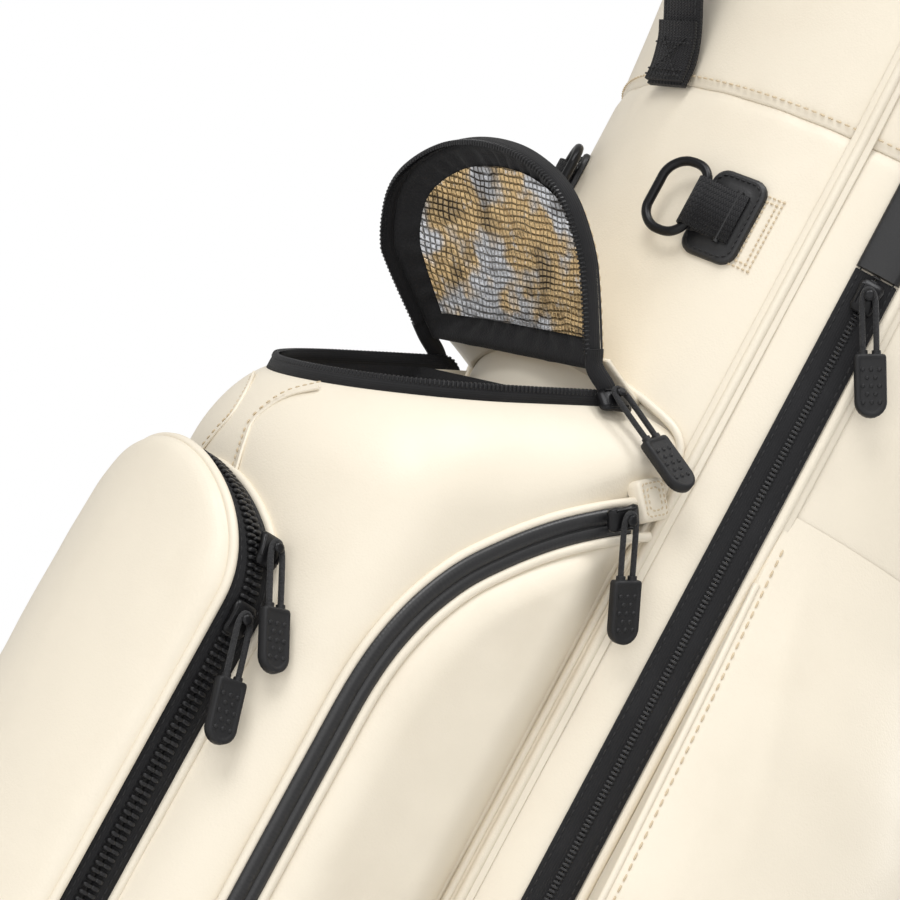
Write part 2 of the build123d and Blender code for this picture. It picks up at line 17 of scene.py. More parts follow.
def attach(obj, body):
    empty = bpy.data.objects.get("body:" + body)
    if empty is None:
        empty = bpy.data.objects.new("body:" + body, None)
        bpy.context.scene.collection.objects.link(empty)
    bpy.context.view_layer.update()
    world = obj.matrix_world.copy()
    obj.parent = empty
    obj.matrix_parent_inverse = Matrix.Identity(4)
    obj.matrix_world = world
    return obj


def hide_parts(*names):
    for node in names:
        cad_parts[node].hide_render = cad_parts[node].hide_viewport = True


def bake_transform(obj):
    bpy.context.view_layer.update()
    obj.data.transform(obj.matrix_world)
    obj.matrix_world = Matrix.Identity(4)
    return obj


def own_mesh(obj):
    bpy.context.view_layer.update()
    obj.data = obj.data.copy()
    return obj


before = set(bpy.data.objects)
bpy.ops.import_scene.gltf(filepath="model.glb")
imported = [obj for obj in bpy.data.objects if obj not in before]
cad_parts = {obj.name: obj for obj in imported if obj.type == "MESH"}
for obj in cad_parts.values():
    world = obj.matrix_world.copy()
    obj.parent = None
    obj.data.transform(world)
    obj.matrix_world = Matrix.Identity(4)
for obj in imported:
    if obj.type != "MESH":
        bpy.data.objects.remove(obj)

LOG = logging.getLogger("bag")
MM = 0.001
Point2 = tuple[float, float]
UP = Vector((0, 0, 1))
BODY_R = 118.0
SEAM_Z = 712.0
FLARE_R = 124.0
FLARE_Z = 772.0


class Tone(Enum):
    """Base colours, linear."""

    CREAM = (0.80, 0.73, 0.605)
    CREAM_SHADE = (0.69, 0.61, 0.485)
    CREAM_THREAD = (0.60, 0.48, 0.31)
    BLACK = (0.007, 0.007, 0.008)
    BLACK_WORN = (0.020, 0.020, 0.022)
    COAT = (0.009, 0.009, 0.010)
    CHARCOAL = (0.030, 0.030, 0.032)
    # Foil colours: the silver and gold are partly the foil's own tones and partly painted reflection and
    # highlights; the dark one is painted shade.
    FOIL = (0.80, 0.82, 0.86)
    GOLD = (0.86, 0.62, 0.32)
    # Painted shade colour of the foil, for the lines between its woven checks and its folds.
    FOIL_DARK = (0.045, 0.034, 0.024)
    GREY = (0.32, 0.32, 0.33)
    FLOOR = (0.86, 0.86, 0.86)


# ------------------------------------------------------------------ shader kit
class Signal:
    """A number in a material that can be added, multiplied and compared like any other."""

    def __init__(self, graph: "Graph", socket: bpy.types.NodeSocket) -> None:
        """Wraps an output socket."""
        self.graph = graph
        self.socket = socket

    def math(self, operation: str, other: object = None, swapped: bool = False) -> "Signal":
        """Adds one Math node.

        Args:
            operation: the node's operation.
            other: second value, a Signal or a number.
            swapped: puts the other value first.

        Returns:
            The node's output.
        """
        values = [self] if other is None else [self, other]
        if swapped:
            values.reverse()
        made = self.graph.node("ShaderNodeMath", {"operation": operation}, dict(enumerate(values)))
        return Signal(self.graph, made.outputs[0])

    def __add__(self, other: object) -> "Signal":
        """Sum."""
        return self.math("ADD", other)

    __radd__ = __add__

    def __mul__(self, other: object) -> "Signal":
        """Product."""
        return self.math("MULTIPLY", other)

    __rmul__ = __mul__

    def __sub__(self, other: object) -> "Signal":
        """Difference."""
        return self.math("SUBTRACT", other)

    def __rsub__(self, other: object) -> "Signal":
        """Difference, the other way round."""
        return self.math("SUBTRACT", other, swapped=True)

    def sine(self) -> "Signal":
        """Sine of the value."""
        return self.math("SINE")

    def size(self) -> "Signal":
        """The value without its sign."""
        return self.math("ABSOLUTE")

    def at_most(self, other: object) -> "Signal":
        """The smaller of two values."""
        return self.math("MINIMUM", other)

    def step(self, low: float, high: float) -> "Signal":
        """Smooth 0 to 1 between two values."""
        made = self.graph.node(
            "ShaderNodeMapRange", {"interpolation_type": "SMOOTHSTEP"},
            {"Value": self, "From Min": low, "From Max": high}
        )
        return Signal(self.graph, made.outputs[0])


class Graph:
    """One material being wired."""

    def __init__(self, name: str) -> None:
        """Starts a material with its shader.

        Args:
            name: the material's name.
        """
        self.material = bpy.data.materials.new(name)
        self.material.use_nodes = True
        self.nodes = self.material.node_tree.nodes
        self.links = self.material.node_tree.links
        self.shader = self.nodes["Principled BSDF"]

    def node(self, kind: str, settings: dict | None = None, sockets: dict | None = None) -> bpy.types.Node:
        """Adds a node, sets its properties, and fills or links its inputs.

        Args:
            kind: the node's type.
            settings: properties of the node, set first.
            sockets: values or links of its inputs.

        Returns:
            The new node.
        """
        made = self.nodes.new(kind)
        for key, value in (settings or {}).items():
            setattr(made, key, value)
        for key, value in (sockets or {}).items():
            self.feed(made.inputs[key], value)
        return made

    def feed(self, socket: bpy.types.NodeSocket, value: object) -> None:
        """Links a Signal or a socket, or sets a constant.

        Args:
            socket: the input.
            value: a Signal, a socket, a colour or a number.
        """
        if isinstance(value, Signal):
            self.links.new(value.socket, socket)
        elif isinstance(value, bpy.types.NodeSocket):
            self.links.new(value, socket)
        elif isinstance(value, tuple) and len(value) == 3 and socket.type == "RGBA":
            socket.default_value = (*value, 1.0)
        else:
            socket.default_value = value

    def place(self) -> bpy.types.NodeSocket:
        """Position in the row frame, metres."""
        return self.node("ShaderNodeTexCoord").outputs["Object"]

    def along(self) -> tuple[Signal, Signal]:
        """Distance along and across a strip, metres."""
        split = self.node("ShaderNodeSeparateXYZ", None, {0: self.node("ShaderNodeTexCoord").outputs["UV"]})
        return Signal(self, split.outputs[0]), Signal(self, split.outputs[1])

    def axes(self) -> list[Signal]:
        """The three row-frame coordinates, metres."""
        split = self.node("ShaderNodeSeparateXYZ", None, {0: self.place()})
        return [Signal(self, out) for out in split.outputs]

    def noise(self, scale: float, detail: float = 3.0, rough: float = 0.55,
              stretch: tuple = (1, 1, 1)) -> Signal:
        """Soft noise over the surface.

        Args:
            scale: features per metre.
            detail: layers of finer noise.
            rough: how much the finer layers count.
            stretch: scale along each axis.

        Returns:
            The noise, 0 to 1.
        """
        mapped = self.node("ShaderNodeMapping", None, {"Vector": self.place(), "Scale": stretch})
        made = self.node(
            "ShaderNodeTexNoise", None,
            {"Vector": mapped.outputs[0], "Scale": scale, "Detail": detail, "Roughness": rough},
        )
        return Signal(self, made.outputs[0])

    def cells(self, scale: float, feature: str = "F1") -> Signal:
        """Distance pattern of small cells."""
        made = self.node("ShaderNodeTexVoronoi", {"feature": feature},
                         {"Vector": self.place(), "Scale": scale})
        return Signal(self, made.outputs[0])

    def blend(self, factor: object, first: tuple | Signal, second: tuple | Signal) -> Signal:
        """Mix of two colours."""
        made = self.node("ShaderNodeMix", {"data_type": "RGBA"}, {0: factor, 6: first, 7: second})
        return Signal(self, made.outputs[2])

    def bump(self, height: Signal, distance: float) -> None:
        """Relief of a height given as 0 to 1, distance in metres."""
        made = self.node("ShaderNodeBump", None, {"Height": height, "Distance": distance})
        self.links.new(made.outputs[0], self.shader.inputs["Normal"])

    def dress(self, **values: object) -> None:
        """Sets or links the shader's own sockets, written with underscores."""
        for key, value in values.items():
            self.feed(self.shader.inputs[key.replace("_", " ").replace("Ior", "IOR")], value)


class Finish:
    """Base of every finish: makes its material once and hands it out."""

    name: str
    made: dict[str, bpy.types.Material] = {}

    def material(self) -> bpy.types.Material:
        """The finish's material, made on first use.

        Returns:
            The material.
        """
        if self.name not in Finish.made:
            graph = Graph(self.name)
            self.wire(graph)
            Finish.made[self.name] = graph.material
        return Finish.made[self.name]

    def wire(self, graph: Graph) -> None:
        """Builds the nodes."""
        raise NotImplementedError


@dataclass(frozen=True)
class Leather(Finish):
    """Coated leather with a light pebble, pores and faint handling marks."""

    name: str
    tone: Tone
    shade: Tone
    grain: float = 1350.0
    rough: float = 0.47
    relief: float = 0.00007

    def wire(self, graph: Graph) -> None:
        """Wires the finish's nodes.

        Args:
            graph: the material's nodes.
        """
        pebble = graph.cells(self.grain, "SMOOTH_F1")
        fine = graph.noise(2600, 2, 0.6)
        soft = graph.noise(26, 4, 0.55)
        broad = graph.noise(7, 2, 0.5)
        worn = (soft * 0.55 + broad * 0.45).step(0.46, 0.72)
        graph.dress(
            Base_Color=graph.blend(worn * 0.30 + fine * 0.06, self.tone.value, self.shade.value),
            Roughness=pebble * 0.10 + soft * 0.12 + (self.rough - 0.12),
            Specular_IOR_Level=0.45,
            Coat_Weight=0.10,
            Coat_Roughness=0.32,
        )
        graph.bump(pebble * 0.75 + fine * 0.2 + soft * 1.1, self.relief)


@dataclass(frozen=True)
class Weave(Finish):
    """Woven tape or webbing: crossing ribs along the strip, with a loose fuzz."""

    name: str
    tone: Tone
    worn: Tone
    pitch: float = 0.0011
    relief: float = 0.00022
    rough: float = 0.78

    def wire(self, graph: Graph) -> None:
        """Wires the finish's nodes.

        Args:
            graph: the material's nodes.
        """
        run, cross = graph.along()
        turn = 2 * math.pi / self.pitch
        warp = (cross * turn).sine()
        weft = (run * turn + warp * 0.9).sine()
        weave = weft.size() * 0.65 + (cross * (turn * 0.5)).sine().size() * 0.5
        fuzz = graph.noise(900, 3, 0.65)
        dust = graph.noise(38, 3, 0.6).step(0.5, 0.75)
        graph.dress(
            Base_Color=graph.blend(weave * 0.42 + dust * 0.25 + fuzz * 0.12, self.tone.value,
                                   self.worn.value),
            Roughness=self.rough - weave * 0.12 + fuzz * 0.1,
            Specular_IOR_Level=0.25,
            Sheen_Weight=0.06,
            Sheen_Roughness=0.45,
        )
        graph.bump(weave + fuzz * 0.3, self.relief)


@dataclass(frozen=True)
class Cloth(Finish):
    """Plain woven lining fabric."""

    name: str
    tone: Tone
    worn: Tone

    def wire(self, graph: Graph) -> None:
        """Wires the finish's nodes.

        Args:
            graph: the material's nodes.
        """
        weave = graph.cells(1500, "F1")
        fuzz = graph.noise(500, 3, 0.6)
        graph.dress(
            Base_Color=graph.blend(weave * 0.5 + fuzz * 0.2, self.tone.value, self.worn.value),
            Roughness=0.86 - fuzz * 0.12,
            Specular_IOR_Level=0.3,
            Sheen_Weight=0.08,
        )
        graph.bump(weave + fuzz, 0.00012)


@dataclass(frozen=True)
class Foil(Finish):
    """Crinkled metallised lining laminated on a fine cloth, with painted reflections, highlights and shade in
    its colour.
    """

    name: str

    def wire(self, graph: Graph) -> None:
        """Wires the finish's nodes.

        Args:
            graph: the material's nodes.
        """
        across, _, high = graph.axes()
        creases = graph.noise(130, 5, 0.7)
        folds = graph.noise(34, 3, 0.6)
        drift = folds * 0.005
        warp = ((across + drift) * (math.pi / 0.0026)).sine().size()
        weft = ((high - drift) * (math.pi / 0.0020)).sine().size()
        # Woven checks; the dark lines between them are painted shade in the base colour below.
        check = warp.at_most(weft).step(0.0, 0.62)
        # Gold and silver patches: partly the foil's own tone, partly painted reflection of its surroundings.
        gold_tone_and_painted_reflection = folds.step(0.38, 0.50)
        # Dark patches in the folds: painted shadow.
        shadow = graph.noise(52, 2, 0.5).step(0.50, 0.66)
        # Bright silver glints on the creases: painted highlights.
        glint = creases.step(0.56, 0.66)
        sheet = graph.blend(gold_tone_and_painted_reflection * (1.0 - glint * 0.7), Tone.FOIL.value, Tone.GOLD.value)
        # Base colour takes painted shade between the checks and in the folds, over the painted reflections
        # and highlights.
        graph.dress(
            Base_Color=graph.blend((1.0 - check) * 0.62 + shadow * 0.45, sheet, Tone.FOIL_DARK.value),
            Metallic=0.92 - shadow * 0.3,
            Roughness=0.2 + creases * 0.2,
        )
        graph.bump(check * 0.28 + creases * 0.7 + folds * 2.2, 0.0024)


@dataclass(frozen=True)
class Moulded(Finish):
    """Moulded plastic or rubber with a spark-eroded texture and rubbed edges."""

    name: str
    tone: Tone
    worn: Tone
    rough: float = 0.52
    texture: float = 1500.0
    relief: float = 0.00005
    metal: float = 0.0

    def wire(self, graph: Graph) -> None:
        """Wires the finish's nodes.

        Args:
            graph: the material's nodes.
        """
        grit = graph.noise(self.texture, 2, 0.6)
        patch = graph.noise(32, 3, 0.55)
        edge = graph.node("ShaderNodeBevel", {"samples": 4}, {"Radius": 0.0012})
        flat = graph.node("ShaderNodeNewGeometry")
        sharp = graph.node(
            "ShaderNodeVectorMath", {"operation": "DOT_PRODUCT"},
            {0: edge.outputs[0], 1: flat.outputs["Normal"]}
        )
        rubbed = (1.0 - Signal(graph, sharp.outputs["Value"])).step(0.01, 0.22)
        graph.dress(
            Base_Color=graph.blend(rubbed * 0.55 + patch * 0.22, self.tone.value, self.worn.value),
            Roughness=self.rough + patch * 0.14 - grit * 0.06 - rubbed * 0.1,
            Metallic=self.metal,
            Specular_IOR_Level=0.32,
        )
        graph.bump(grit + patch * 0.4, self.relief)


@dataclass(frozen=True)
class CoatedTape(Finish):
    """Zip tape under a smooth water-resistant coat, with a fine cross rib."""

    name: str

    def wire(self, graph: Graph) -> None:
        """Wires the finish's nodes.

        Args:
            graph: the material's nodes.
        """
        run, _ = graph.along()
        rib = (run * (2 * math.pi / 0.0016)).sine()
        scuff = graph.noise(240, 4, 0.65)
        broad = graph.noise(30, 2, 0.5)
        graph.dress(
            Base_Color=graph.blend(scuff * 0.35 + broad * 0.2, Tone.COAT.value, Tone.BLACK_WORN.value),
            Roughness=0.34 + scuff * 0.16,
            Coat_Weight=0.25,
            Coat_Roughness=0.25,
        )
        graph.bump(rib * 0.25 + scuff * 0.8, 0.00009)


@dataclass(frozen=True)
class Braid(Finish):
    """Round braided cord."""

    name: str

    def wire(self, graph: Graph) -> None:
        """Wires the finish's nodes.

        Args:
            graph: the material's nodes.
        """
        strands = graph.cells(1500, "SMOOTH_F1")
        fuzz = graph.noise(1800, 3, 0.7)
        graph.dress(
            Base_Color=graph.blend(strands * 0.8 + fuzz * 0.2, Tone.CHARCOAL.value, Tone.BLACK.value),
            Roughness=0.7 + fuzz * 0.1,
            Specular_IOR_Level=0.3,
            Sheen_Weight=0.1,
        )
        graph.bump(1.0 - strands + fuzz * 0.3, 0.00035)


@dataclass(frozen=True)
class Thread(Finish):
    """Sewing thread with its twist."""

    name: str
    tone: Tone

    def wire(self, graph: Graph) -> None:
        """Wires the finish's nodes.

        Args:
            graph: the material's nodes.
        """
        twist = graph.noise(2400, 2, 0.5, (1, 1, 0.3))
        pale = Tone.CREAM_SHADE if self.tone is Tone.CREAM_THREAD else Tone.CHARCOAL
        graph.dress(
            Base_Color=graph.blend(twist * 0.4, self.tone.value, pale.value),
            Roughness=0.62 + twist * 0.1,
        )
        graph.bump(twist, 0.0001)


@dataclass(frozen=True)
class Ground(Finish):
    """Pale studio floor."""

    name: str

    def wire(self, graph: Graph) -> None:
        """Wires the finish's nodes."""
        cloud = graph.noise(3, 3, 0.5)
        graph.dress(Base_Color=graph.blend(cloud * 0.08, Tone.FLOOR.value, Tone.CREAM_THREAD.value),
                    Roughness=0.8)


CREAM = Leather("cream_leather", Tone.CREAM, Tone.CREAM_SHADE)
BLACK_LEATHER = Leather("black_leather", Tone.COAT, Tone.BLACK_WORN, rough=0.44)
WEBBING = Weave("webbing_weave", Tone.BLACK, Tone.BLACK_WORN, 0.0022, 0.0004)
TAPE = Weave("zip_tape_weave", Tone.BLACK, Tone.BLACK_WORN, 0.0009, 0.00012)
LINING = Cloth("black_lining", Tone.BLACK, Tone.BLACK_WORN)
SLEEVE = Cloth("sleeve_lining", Tone.BLACK_WORN, Tone.CHARCOAL)
FOIL = Foil("foil_lining")
PLASTIC = Moulded("moulded_black", Tone.BLACK, Tone.CHARCOAL)
TEETH = Moulded("zip_teeth_black", Tone.BLACK, Tone.CHARCOAL, rough=0.34, relief=0.00001)
METAL = Moulded("coated_metal_black", Tone.BLACK, Tone.CHARCOAL, rough=0.27, texture=900, relief=0.000015,
                metal=0.35)
RUBBER = Moulded("rubber_charcoal", Tone.COAT, Tone.CHARCOAL, rough=0.5)
FOOT = Moulded("rubber_black", Tone.BLACK, Tone.CHARCOAL, rough=0.7)
TUBE = Moulded("tube_plastic", Tone.GREY, Tone.CHARCOAL, rough=0.5)
ROD = Moulded("rod_metal", Tone.FLOOR, Tone.GREY, rough=0.3, metal=1.0)
COATED = CoatedTape("coated_zip_tape")
BRAID = Braid("braided_cord")
CREAM_THREAD = Thread("cream_thread", Tone.CREAM_THREAD)
BLACK_THREAD = Thread("black_thread", Tone.BLACK)


# ------------------------------------------------------------------ shape kit
def barrel_r(z: float) -> float:
    """Outside radius of the body and yoke at a height.

    Args:
        z: height.

    Returns:
        The radius.
    """
    if z <= SEAM_Z:
        return BODY_R
    if z <= FLARE_Z:
        return BODY_R + (FLARE_R - BODY_R) * (z - SEAM_Z) / (FLARE_Z - SEAM_Z)
    return FLARE_R + 3.0 * (z - FLARE_Z) / 70


def on_barrel(theta: float, z: float, lift: float = 0.0) -> Vector:
    """Point on the barrel.

    Args:
        theta: degrees round the barrel, from the front towards +X.
        z: height.
        lift: distance off the surface.

    Returns:
        The point.
    """
    a = math.radians(theta)
    r = barrel_r(z) + lift
    return Vector((r * math.sin(a), -r * math.cos(a), z))


def outward(theta: float) -> Vector:
    """Horizontal direction out of the barrel."""
    a = math.radians(theta)
    return Vector((math.sin(a), -math.cos(a), 0))


def around(p: Vector) -> Vector:
    """Horizontal direction from the bag's axis to a point."""
    return Vector((p.x, p.y, 0)).normalized()


def squared(out: Vector, way: Vector) -> Vector:
    """The part of a direction that is square to another, one long."""
    return (out - way * out.dot(way)).normalized()


def circle(sides: int) -> list[Point2]:
    """Points of a unit circle."""
    turns = [2 * math.pi * k / sides for k in range(sides)]
    return [(math.cos(turn), math.sin(turn)) for turn in turns]


def hand(side: int) -> str:
    """Which side of the bag it is, in a word."""
    return "right" if side > 0 else "left"


def ripple(p: Vector, size: float, seed: float = 0.0) -> float:
    """Smooth noise of about -1 to 1 with features of the given size."""
    return noise.noise(Vector((p.x / size + seed, p.y / size, p.z / size)))


def spline(points: Sequence[Sequence[float]], steps: int) -> list[Vector]:
    """Smooth curve through the points.

    Args:
        points: points that it passes through.
        steps: points in each stretch.

    Returns:
        The points.
    """
    pts = [Vector(p) for p in points]
    pts = [pts[0] * 2 - pts[1], *pts, pts[-1] * 2 - pts[-2]]
    out = []
    for a, b, c, d in zip(pts, pts[1:], pts[2:], pts[3:]):
        for k in range(steps):
            t = k / steps
            bend, twist = 2 * a - 5 * b + 4 * c - d, 3 * b - a - 3 * c + d
            out.append(0.5 * (2 * b + (c - a) * t + bend * t * t + twist * t**3))
    out.append(pts[-2].copy())
    return out


def evenly(path: Sequence[Vector], pitch: float) -> list[Vector]:
    """Same path with points a fixed distance apart.

    Args:
        path: points of the line.
        pitch: distance between neighbours.

    Returns:
        The points.
    """
    lengths = [0.0]
    for a, b in zip(path, path[1:]):
        lengths.append(lengths[-1] + (b - a).length)
    count = max(2, round(lengths[-1] / pitch))
    out, k = [], 0
    for n in range(count + 1):
        want = lengths[-1] * n / count
        while k < len(path) - 2 and lengths[k + 1] < want:
            k += 1
        span = lengths[k + 1] - lengths[k] or 1.0
        out.append(path[k].lerp(path[k + 1], (want - lengths[k]) / span))
    return out


def headings(path: Sequence[Vector]) -> list[Vector]:
    """Direction of travel at each point."""
    last = len(path) - 1
    return [(path[min(k + 1, last)] - path[max(k - 1, 0)]).normalized() for k in range(len(path))]


Normals = Callable[[Vector], Vector]


@dataclass
class Shape:
    """Mesh being built, in millimetres, with strip distances as its UVs."""

    name: str
    points: list[Vector] = field(default_factory=list)
    faces: list[tuple[int, ...]] = field(default_factory=list)
    marks: list[list[Point2]] = field(default_factory=list)

    def grid(self, rows: Sequence[Sequence[Vector]], round_rows: bool = False, flip: bool = False,
             kept: Callable[[Vector], bool] | None = None) -> "Shape":
        """Adds a sheet of quads through rows of points.

        Args:
            rows: lists of the same length.
            round_rows: joins each row's end to its start.
            flip: turns the faces over.
            kept: says whether the quad at a point is there; an opening is where it is not.

        Returns:
            The shape itself.
        """
        start = len(self.points)
        wide = len(rows[0])
        across = [0.0]
        middle = rows[len(rows) // 2]
        for a, b in zip(middle, [*middle[1:], middle[0]]):
            across.append(across[-1] + (b - a).length)
        down = [0.0]
        for a, b in zip(rows, rows[1:]):
            down.append(down[-1] + (b[wide // 2] - a[wide // 2]).length)
        for row in rows:
            self.points.extend(row)
        for j in range(len(rows) - 1):
            for i in range(wide if round_rows else wide - 1):
                n = (i + 1) % wide
                if kept and not kept((rows[j][i] + rows[j + 1][n]) / 2):
                    continue
                here, below = start + j * wide, start + (j + 1) * wide
                quad = [here + i, here + n, below + n, below + i]
                corners = ((j, i), (j, i + 1), (j + 1, i + 1), (j + 1, i))
                marks = [(down[row], across[column]) for row, column in corners]
                if flip:
                    quad.reverse()
                    marks.reverse()
                self.faces.append(tuple(quad))
                self.marks.append(marks)
        return self

    def lid(self, ring: Sequence[Vector], flip: bool = False) -> "Shape":
        """Closes a ring with a fan.

        Args:
            ring: points round the edge.
            flip: turns the faces over.

        Returns:
            The shape itself.
        """
        start = len(self.points)
        centre = sum(ring, Vector()) / len(ring)
        self.points.extend(ring)
        self.points.append(centre)
        for i in range(len(ring)):
            tri = [start + i, start + (i + 1) % len(ring), start + len(ring)]
            if flip:
                tri.reverse()
            self.faces.append(tuple(tri))
            self.marks.append([(self.points[v].x, self.points[v].z) for v in tri])
        return self

    def strip(self, path: Sequence[Vector], normal: Normals, section: Sequence[Point2]) -> "Shape":
        """Carries a closed section along a path and closes its ends.

        Args:
            path: points of the line.
            normal: gives the direction out of the surface at a point.
            section: its points, across and out.

        Returns:
            The shape itself.
        """
        rows = []
        for p, way in zip(path, headings(path)):
            out = squared(normal(p), way)
            side = way.cross(out)
            rows.append([p + side * a + out * n for a, n in section])
        return self.grid(rows, round_rows=True).lid(rows[0]).lid(rows[-1], flip=True)

    def tube(self, path: Sequence[Vector], radius: float, sides: int, normal: Normals) -> "Shape":
        """Round bar along a path."""
        return self.strip(path, normal, [(radius * c, radius * s) for c, s in circle(sides)])

    def stitches(self, path: Sequence[Vector], normal: Normals, side: float = 0.0, pitch: float = 4.2,
                 length: float = 3.0, radius: float = 0.42, lift: float = 0.25) -> "Shape":
        """Row of sewn stitches along a path, shifted sideways on the surface.

        Args:
            path: points of the line.
            normal: gives the direction out of the surface at a point.
            side: distance to one side.
            pitch: distance between neighbours.
            length: length of one stitch.
            radius: half its thickness.
            lift: distance off the surface.

        Returns:
            The shape itself.
        """
        spots = evenly(path, pitch)
        for p, way in zip(spots, headings(spots)):
            out = squared(normal(p), way)
            across = way.cross(out)
            centre = p + across * side + out * lift
            rows = []
            for t, r in ((-0.5, 0.25), (-0.4, 0.8), (0, 1.0), (0.4, 0.8), (0.5, 0.25)):
                mid = centre + way * (t * length) - out * (abs(t) * radius * 0.9)
                rows.append([mid + (across * c + out * s) * (radius * r) for c, s in circle(6)])
            self.grid(rows, round_rows=True)
        return self

    def blocks(self, path: Sequence[Vector], normal: Normals, pitch: float, size: tuple[float, float, float],
               lift: float) -> "Shape":
        """Row of small rounded blocks along a path, such as the teeth of a zip.

        Args:
            path: points of the line.
            normal: gives the direction out of the surface at a point.
            pitch: distance between neighbours.
            size: along, across and out.
            lift: distance off the surface.

        Returns:
            The shape itself.
        """
        eight = ((-1, -0.6), (-0.6, -1), (0.6, -1), (1, -0.6), (1, 0.6), (0.6, 1), (-0.6, 1), (-1, 0.6))
        spots = evenly(path, pitch)
        for p, way in zip(spots, headings(spots)):
            out = squared(normal(p), way)
            across = way.cross(out)
            centre = p + out * lift
            rows = []
            for h, grow in ((0.0, 1.0), (0.55, 1.0), (0.9, 0.82), (1.0, 0.5)):
                middle = centre + out * (h * size[2])
                rows.append([
                    middle + way * (a * grow * size[0] / 2) + across * (b * grow * size[1] / 2)
                    for a, b in eight
                ])
            self.grid(rows, round_rows=True, flip=True)
            self.lid(rows[-1])
        return self

    def pillow(self, outline: Sequence[Point2], profile: Sequence[Point2],
               put: Callable[[float, float, float], Vector],
               crown: float = 0.0, rings: int = 6, flip: bool = False) -> "Shape":
        """Panel inside an outline, shaped at its edge by a profile and crowned over the rest.

        Args:
            outline: points round the panel.
            profile: inset and height, from the edge in.
            put: turns a flat point and a height into a place.
            crown: extra height at the centre.
            rings: rows up to the centre.
            flip: turns the faces over.

        Returns:
            The shape itself.
        """
        flat = [Vector((x, z)) for x, z in outline]
        area = sum(a.x * b.y - b.x * a.y for a, b in zip(flat, flat[1:] + flat[:1]))
        low, high = (Vector((pick(p.x for p in flat), pick(p.y for p in flat))) for pick in (min, max))
        centre, half = (low + high) / 2, (high - low) / 2

        def drawn_in(p: Vector, inset: float) -> Vector:
            """Flat point moved in from the outline."""
            return centre + (p - centre) * Vector((1 - inset / half.x, 1 - inset / half.y))

        rows = [[put(*drawn_in(p, inset), height) for p in flat] for inset, height in profile]
        inset, height = profile[-1]
        inner = [drawn_in(p, inset) for p in flat]
        for j in range(1, rings + 1):
            keep = 1 - j / (rings + 0.35)
            rise = height + crown * (1 - keep * keep)
            rows.append([put(*(centre + (p - centre) * keep), rise) for p in inner])
        over = (area < 0) != flip
        self.grid(rows, round_rows=True, flip=over)
        self.lid(rows[-1], flip=over)
        return self

    def make(self, finish: Finish, body: str, slot: str, replaces: Sequence[str] = (),
             thick: float = 0.0) -> bpy.types.Object:
        """Turns the shape into a piece.

        Args:
            finish: what it is made of.
            body: the CAD body it moves with, or nothing for a piece left unattached.
            slot: not used.
            replaces: CAD nodes it stands for.
            thick: thickness in millimetres given to an open sheet, inwards.

        Returns:
            The new object.
        """
        mesh = bpy.data.meshes.new(self.name)
        mesh.from_pydata([p * MM for p in self.points], [], self.faces)
        layer = mesh.uv_layers.new(name="UVMap")
        corner = 0
        for marks in self.marks:
            for u, v in marks:
                layer.data[corner].uv = (u * MM, v * MM)
                corner += 1
        mesh.polygons.foreach_set("use_smooth", [True] * len(mesh.polygons))
        mesh.materials.append(finish.material())
        piece = bpy.data.objects.new(self.name, mesh)
        bpy.context.scene.collection.objects.link(piece)
        if thick:
            solid = piece.modifiers.new("thickness", "SOLIDIFY")
            solid.thickness = thick * MM
            solid.offset = -1
        if body:
            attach(piece, body)
        if replaces:
            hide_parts(*replaces)
        LOG.info("%s: %d points", self.name, len(self.points))
        return piece


def flat_section(width: float, thick: float, lift: float = 0.0, shift: float = 0.0) -> list[Point2]:
    """Section of a flat strip with softened corners.

    Args:
        width: full width.
        thick: full thickness.
        lift: distance off the surface.
        shift: distance to one side.

    Returns:
        Its points, across and out.
    """
    w, t = width / 2, thick
    edge = min(0.35 * t, 0.4)
    top = lift + t
    points = [(-w, lift), (w, lift), (w, top - edge), (w - edge, top), (-w + edge, top), (-w, top - edge)]
    return [(a + shift, n) for a, n in points]


def rounded_box(width: float, height: float, radius: float, steps: int = 5) -> list[Point2]:
    """Rounded rectangle about the origin, counter-clockwise.

    Args:
        width: full width.
        height: full height.
        radius: corner radius.
        steps: stretches in each corner.

    Returns:
        Its points.
    """
    out = []
    for cx, cy, start in ((1, 1, 0), (-1, 1, 90), (-1, -1, 180), (1, -1, 270)):
        for k in range(steps + 1):
            a = math.radians(start + 90 * k / steps)
            middle = (cx * (width / 2 - radius), cy * (height / 2 - radius))
            out.append((middle[0] + radius * math.cos(a), middle[1] + radius * math.sin(a)))
    return out


def dressed(names: Sequence[str], finish: Finish) -> None:
    """Gives carried-over CAD nodes their finish.

    Args:
        names: the nodes' names.
        finish: what they are made of.
    """
    for name in names:
        piece = bpy.data.objects[name]
        for slot in piece.material_slots:
            slot.material = finish.material()
        if not piece.material_slots:
            piece.data.materials.append(finish.material())
        LOG.info("%s: %s", name, finish.name)


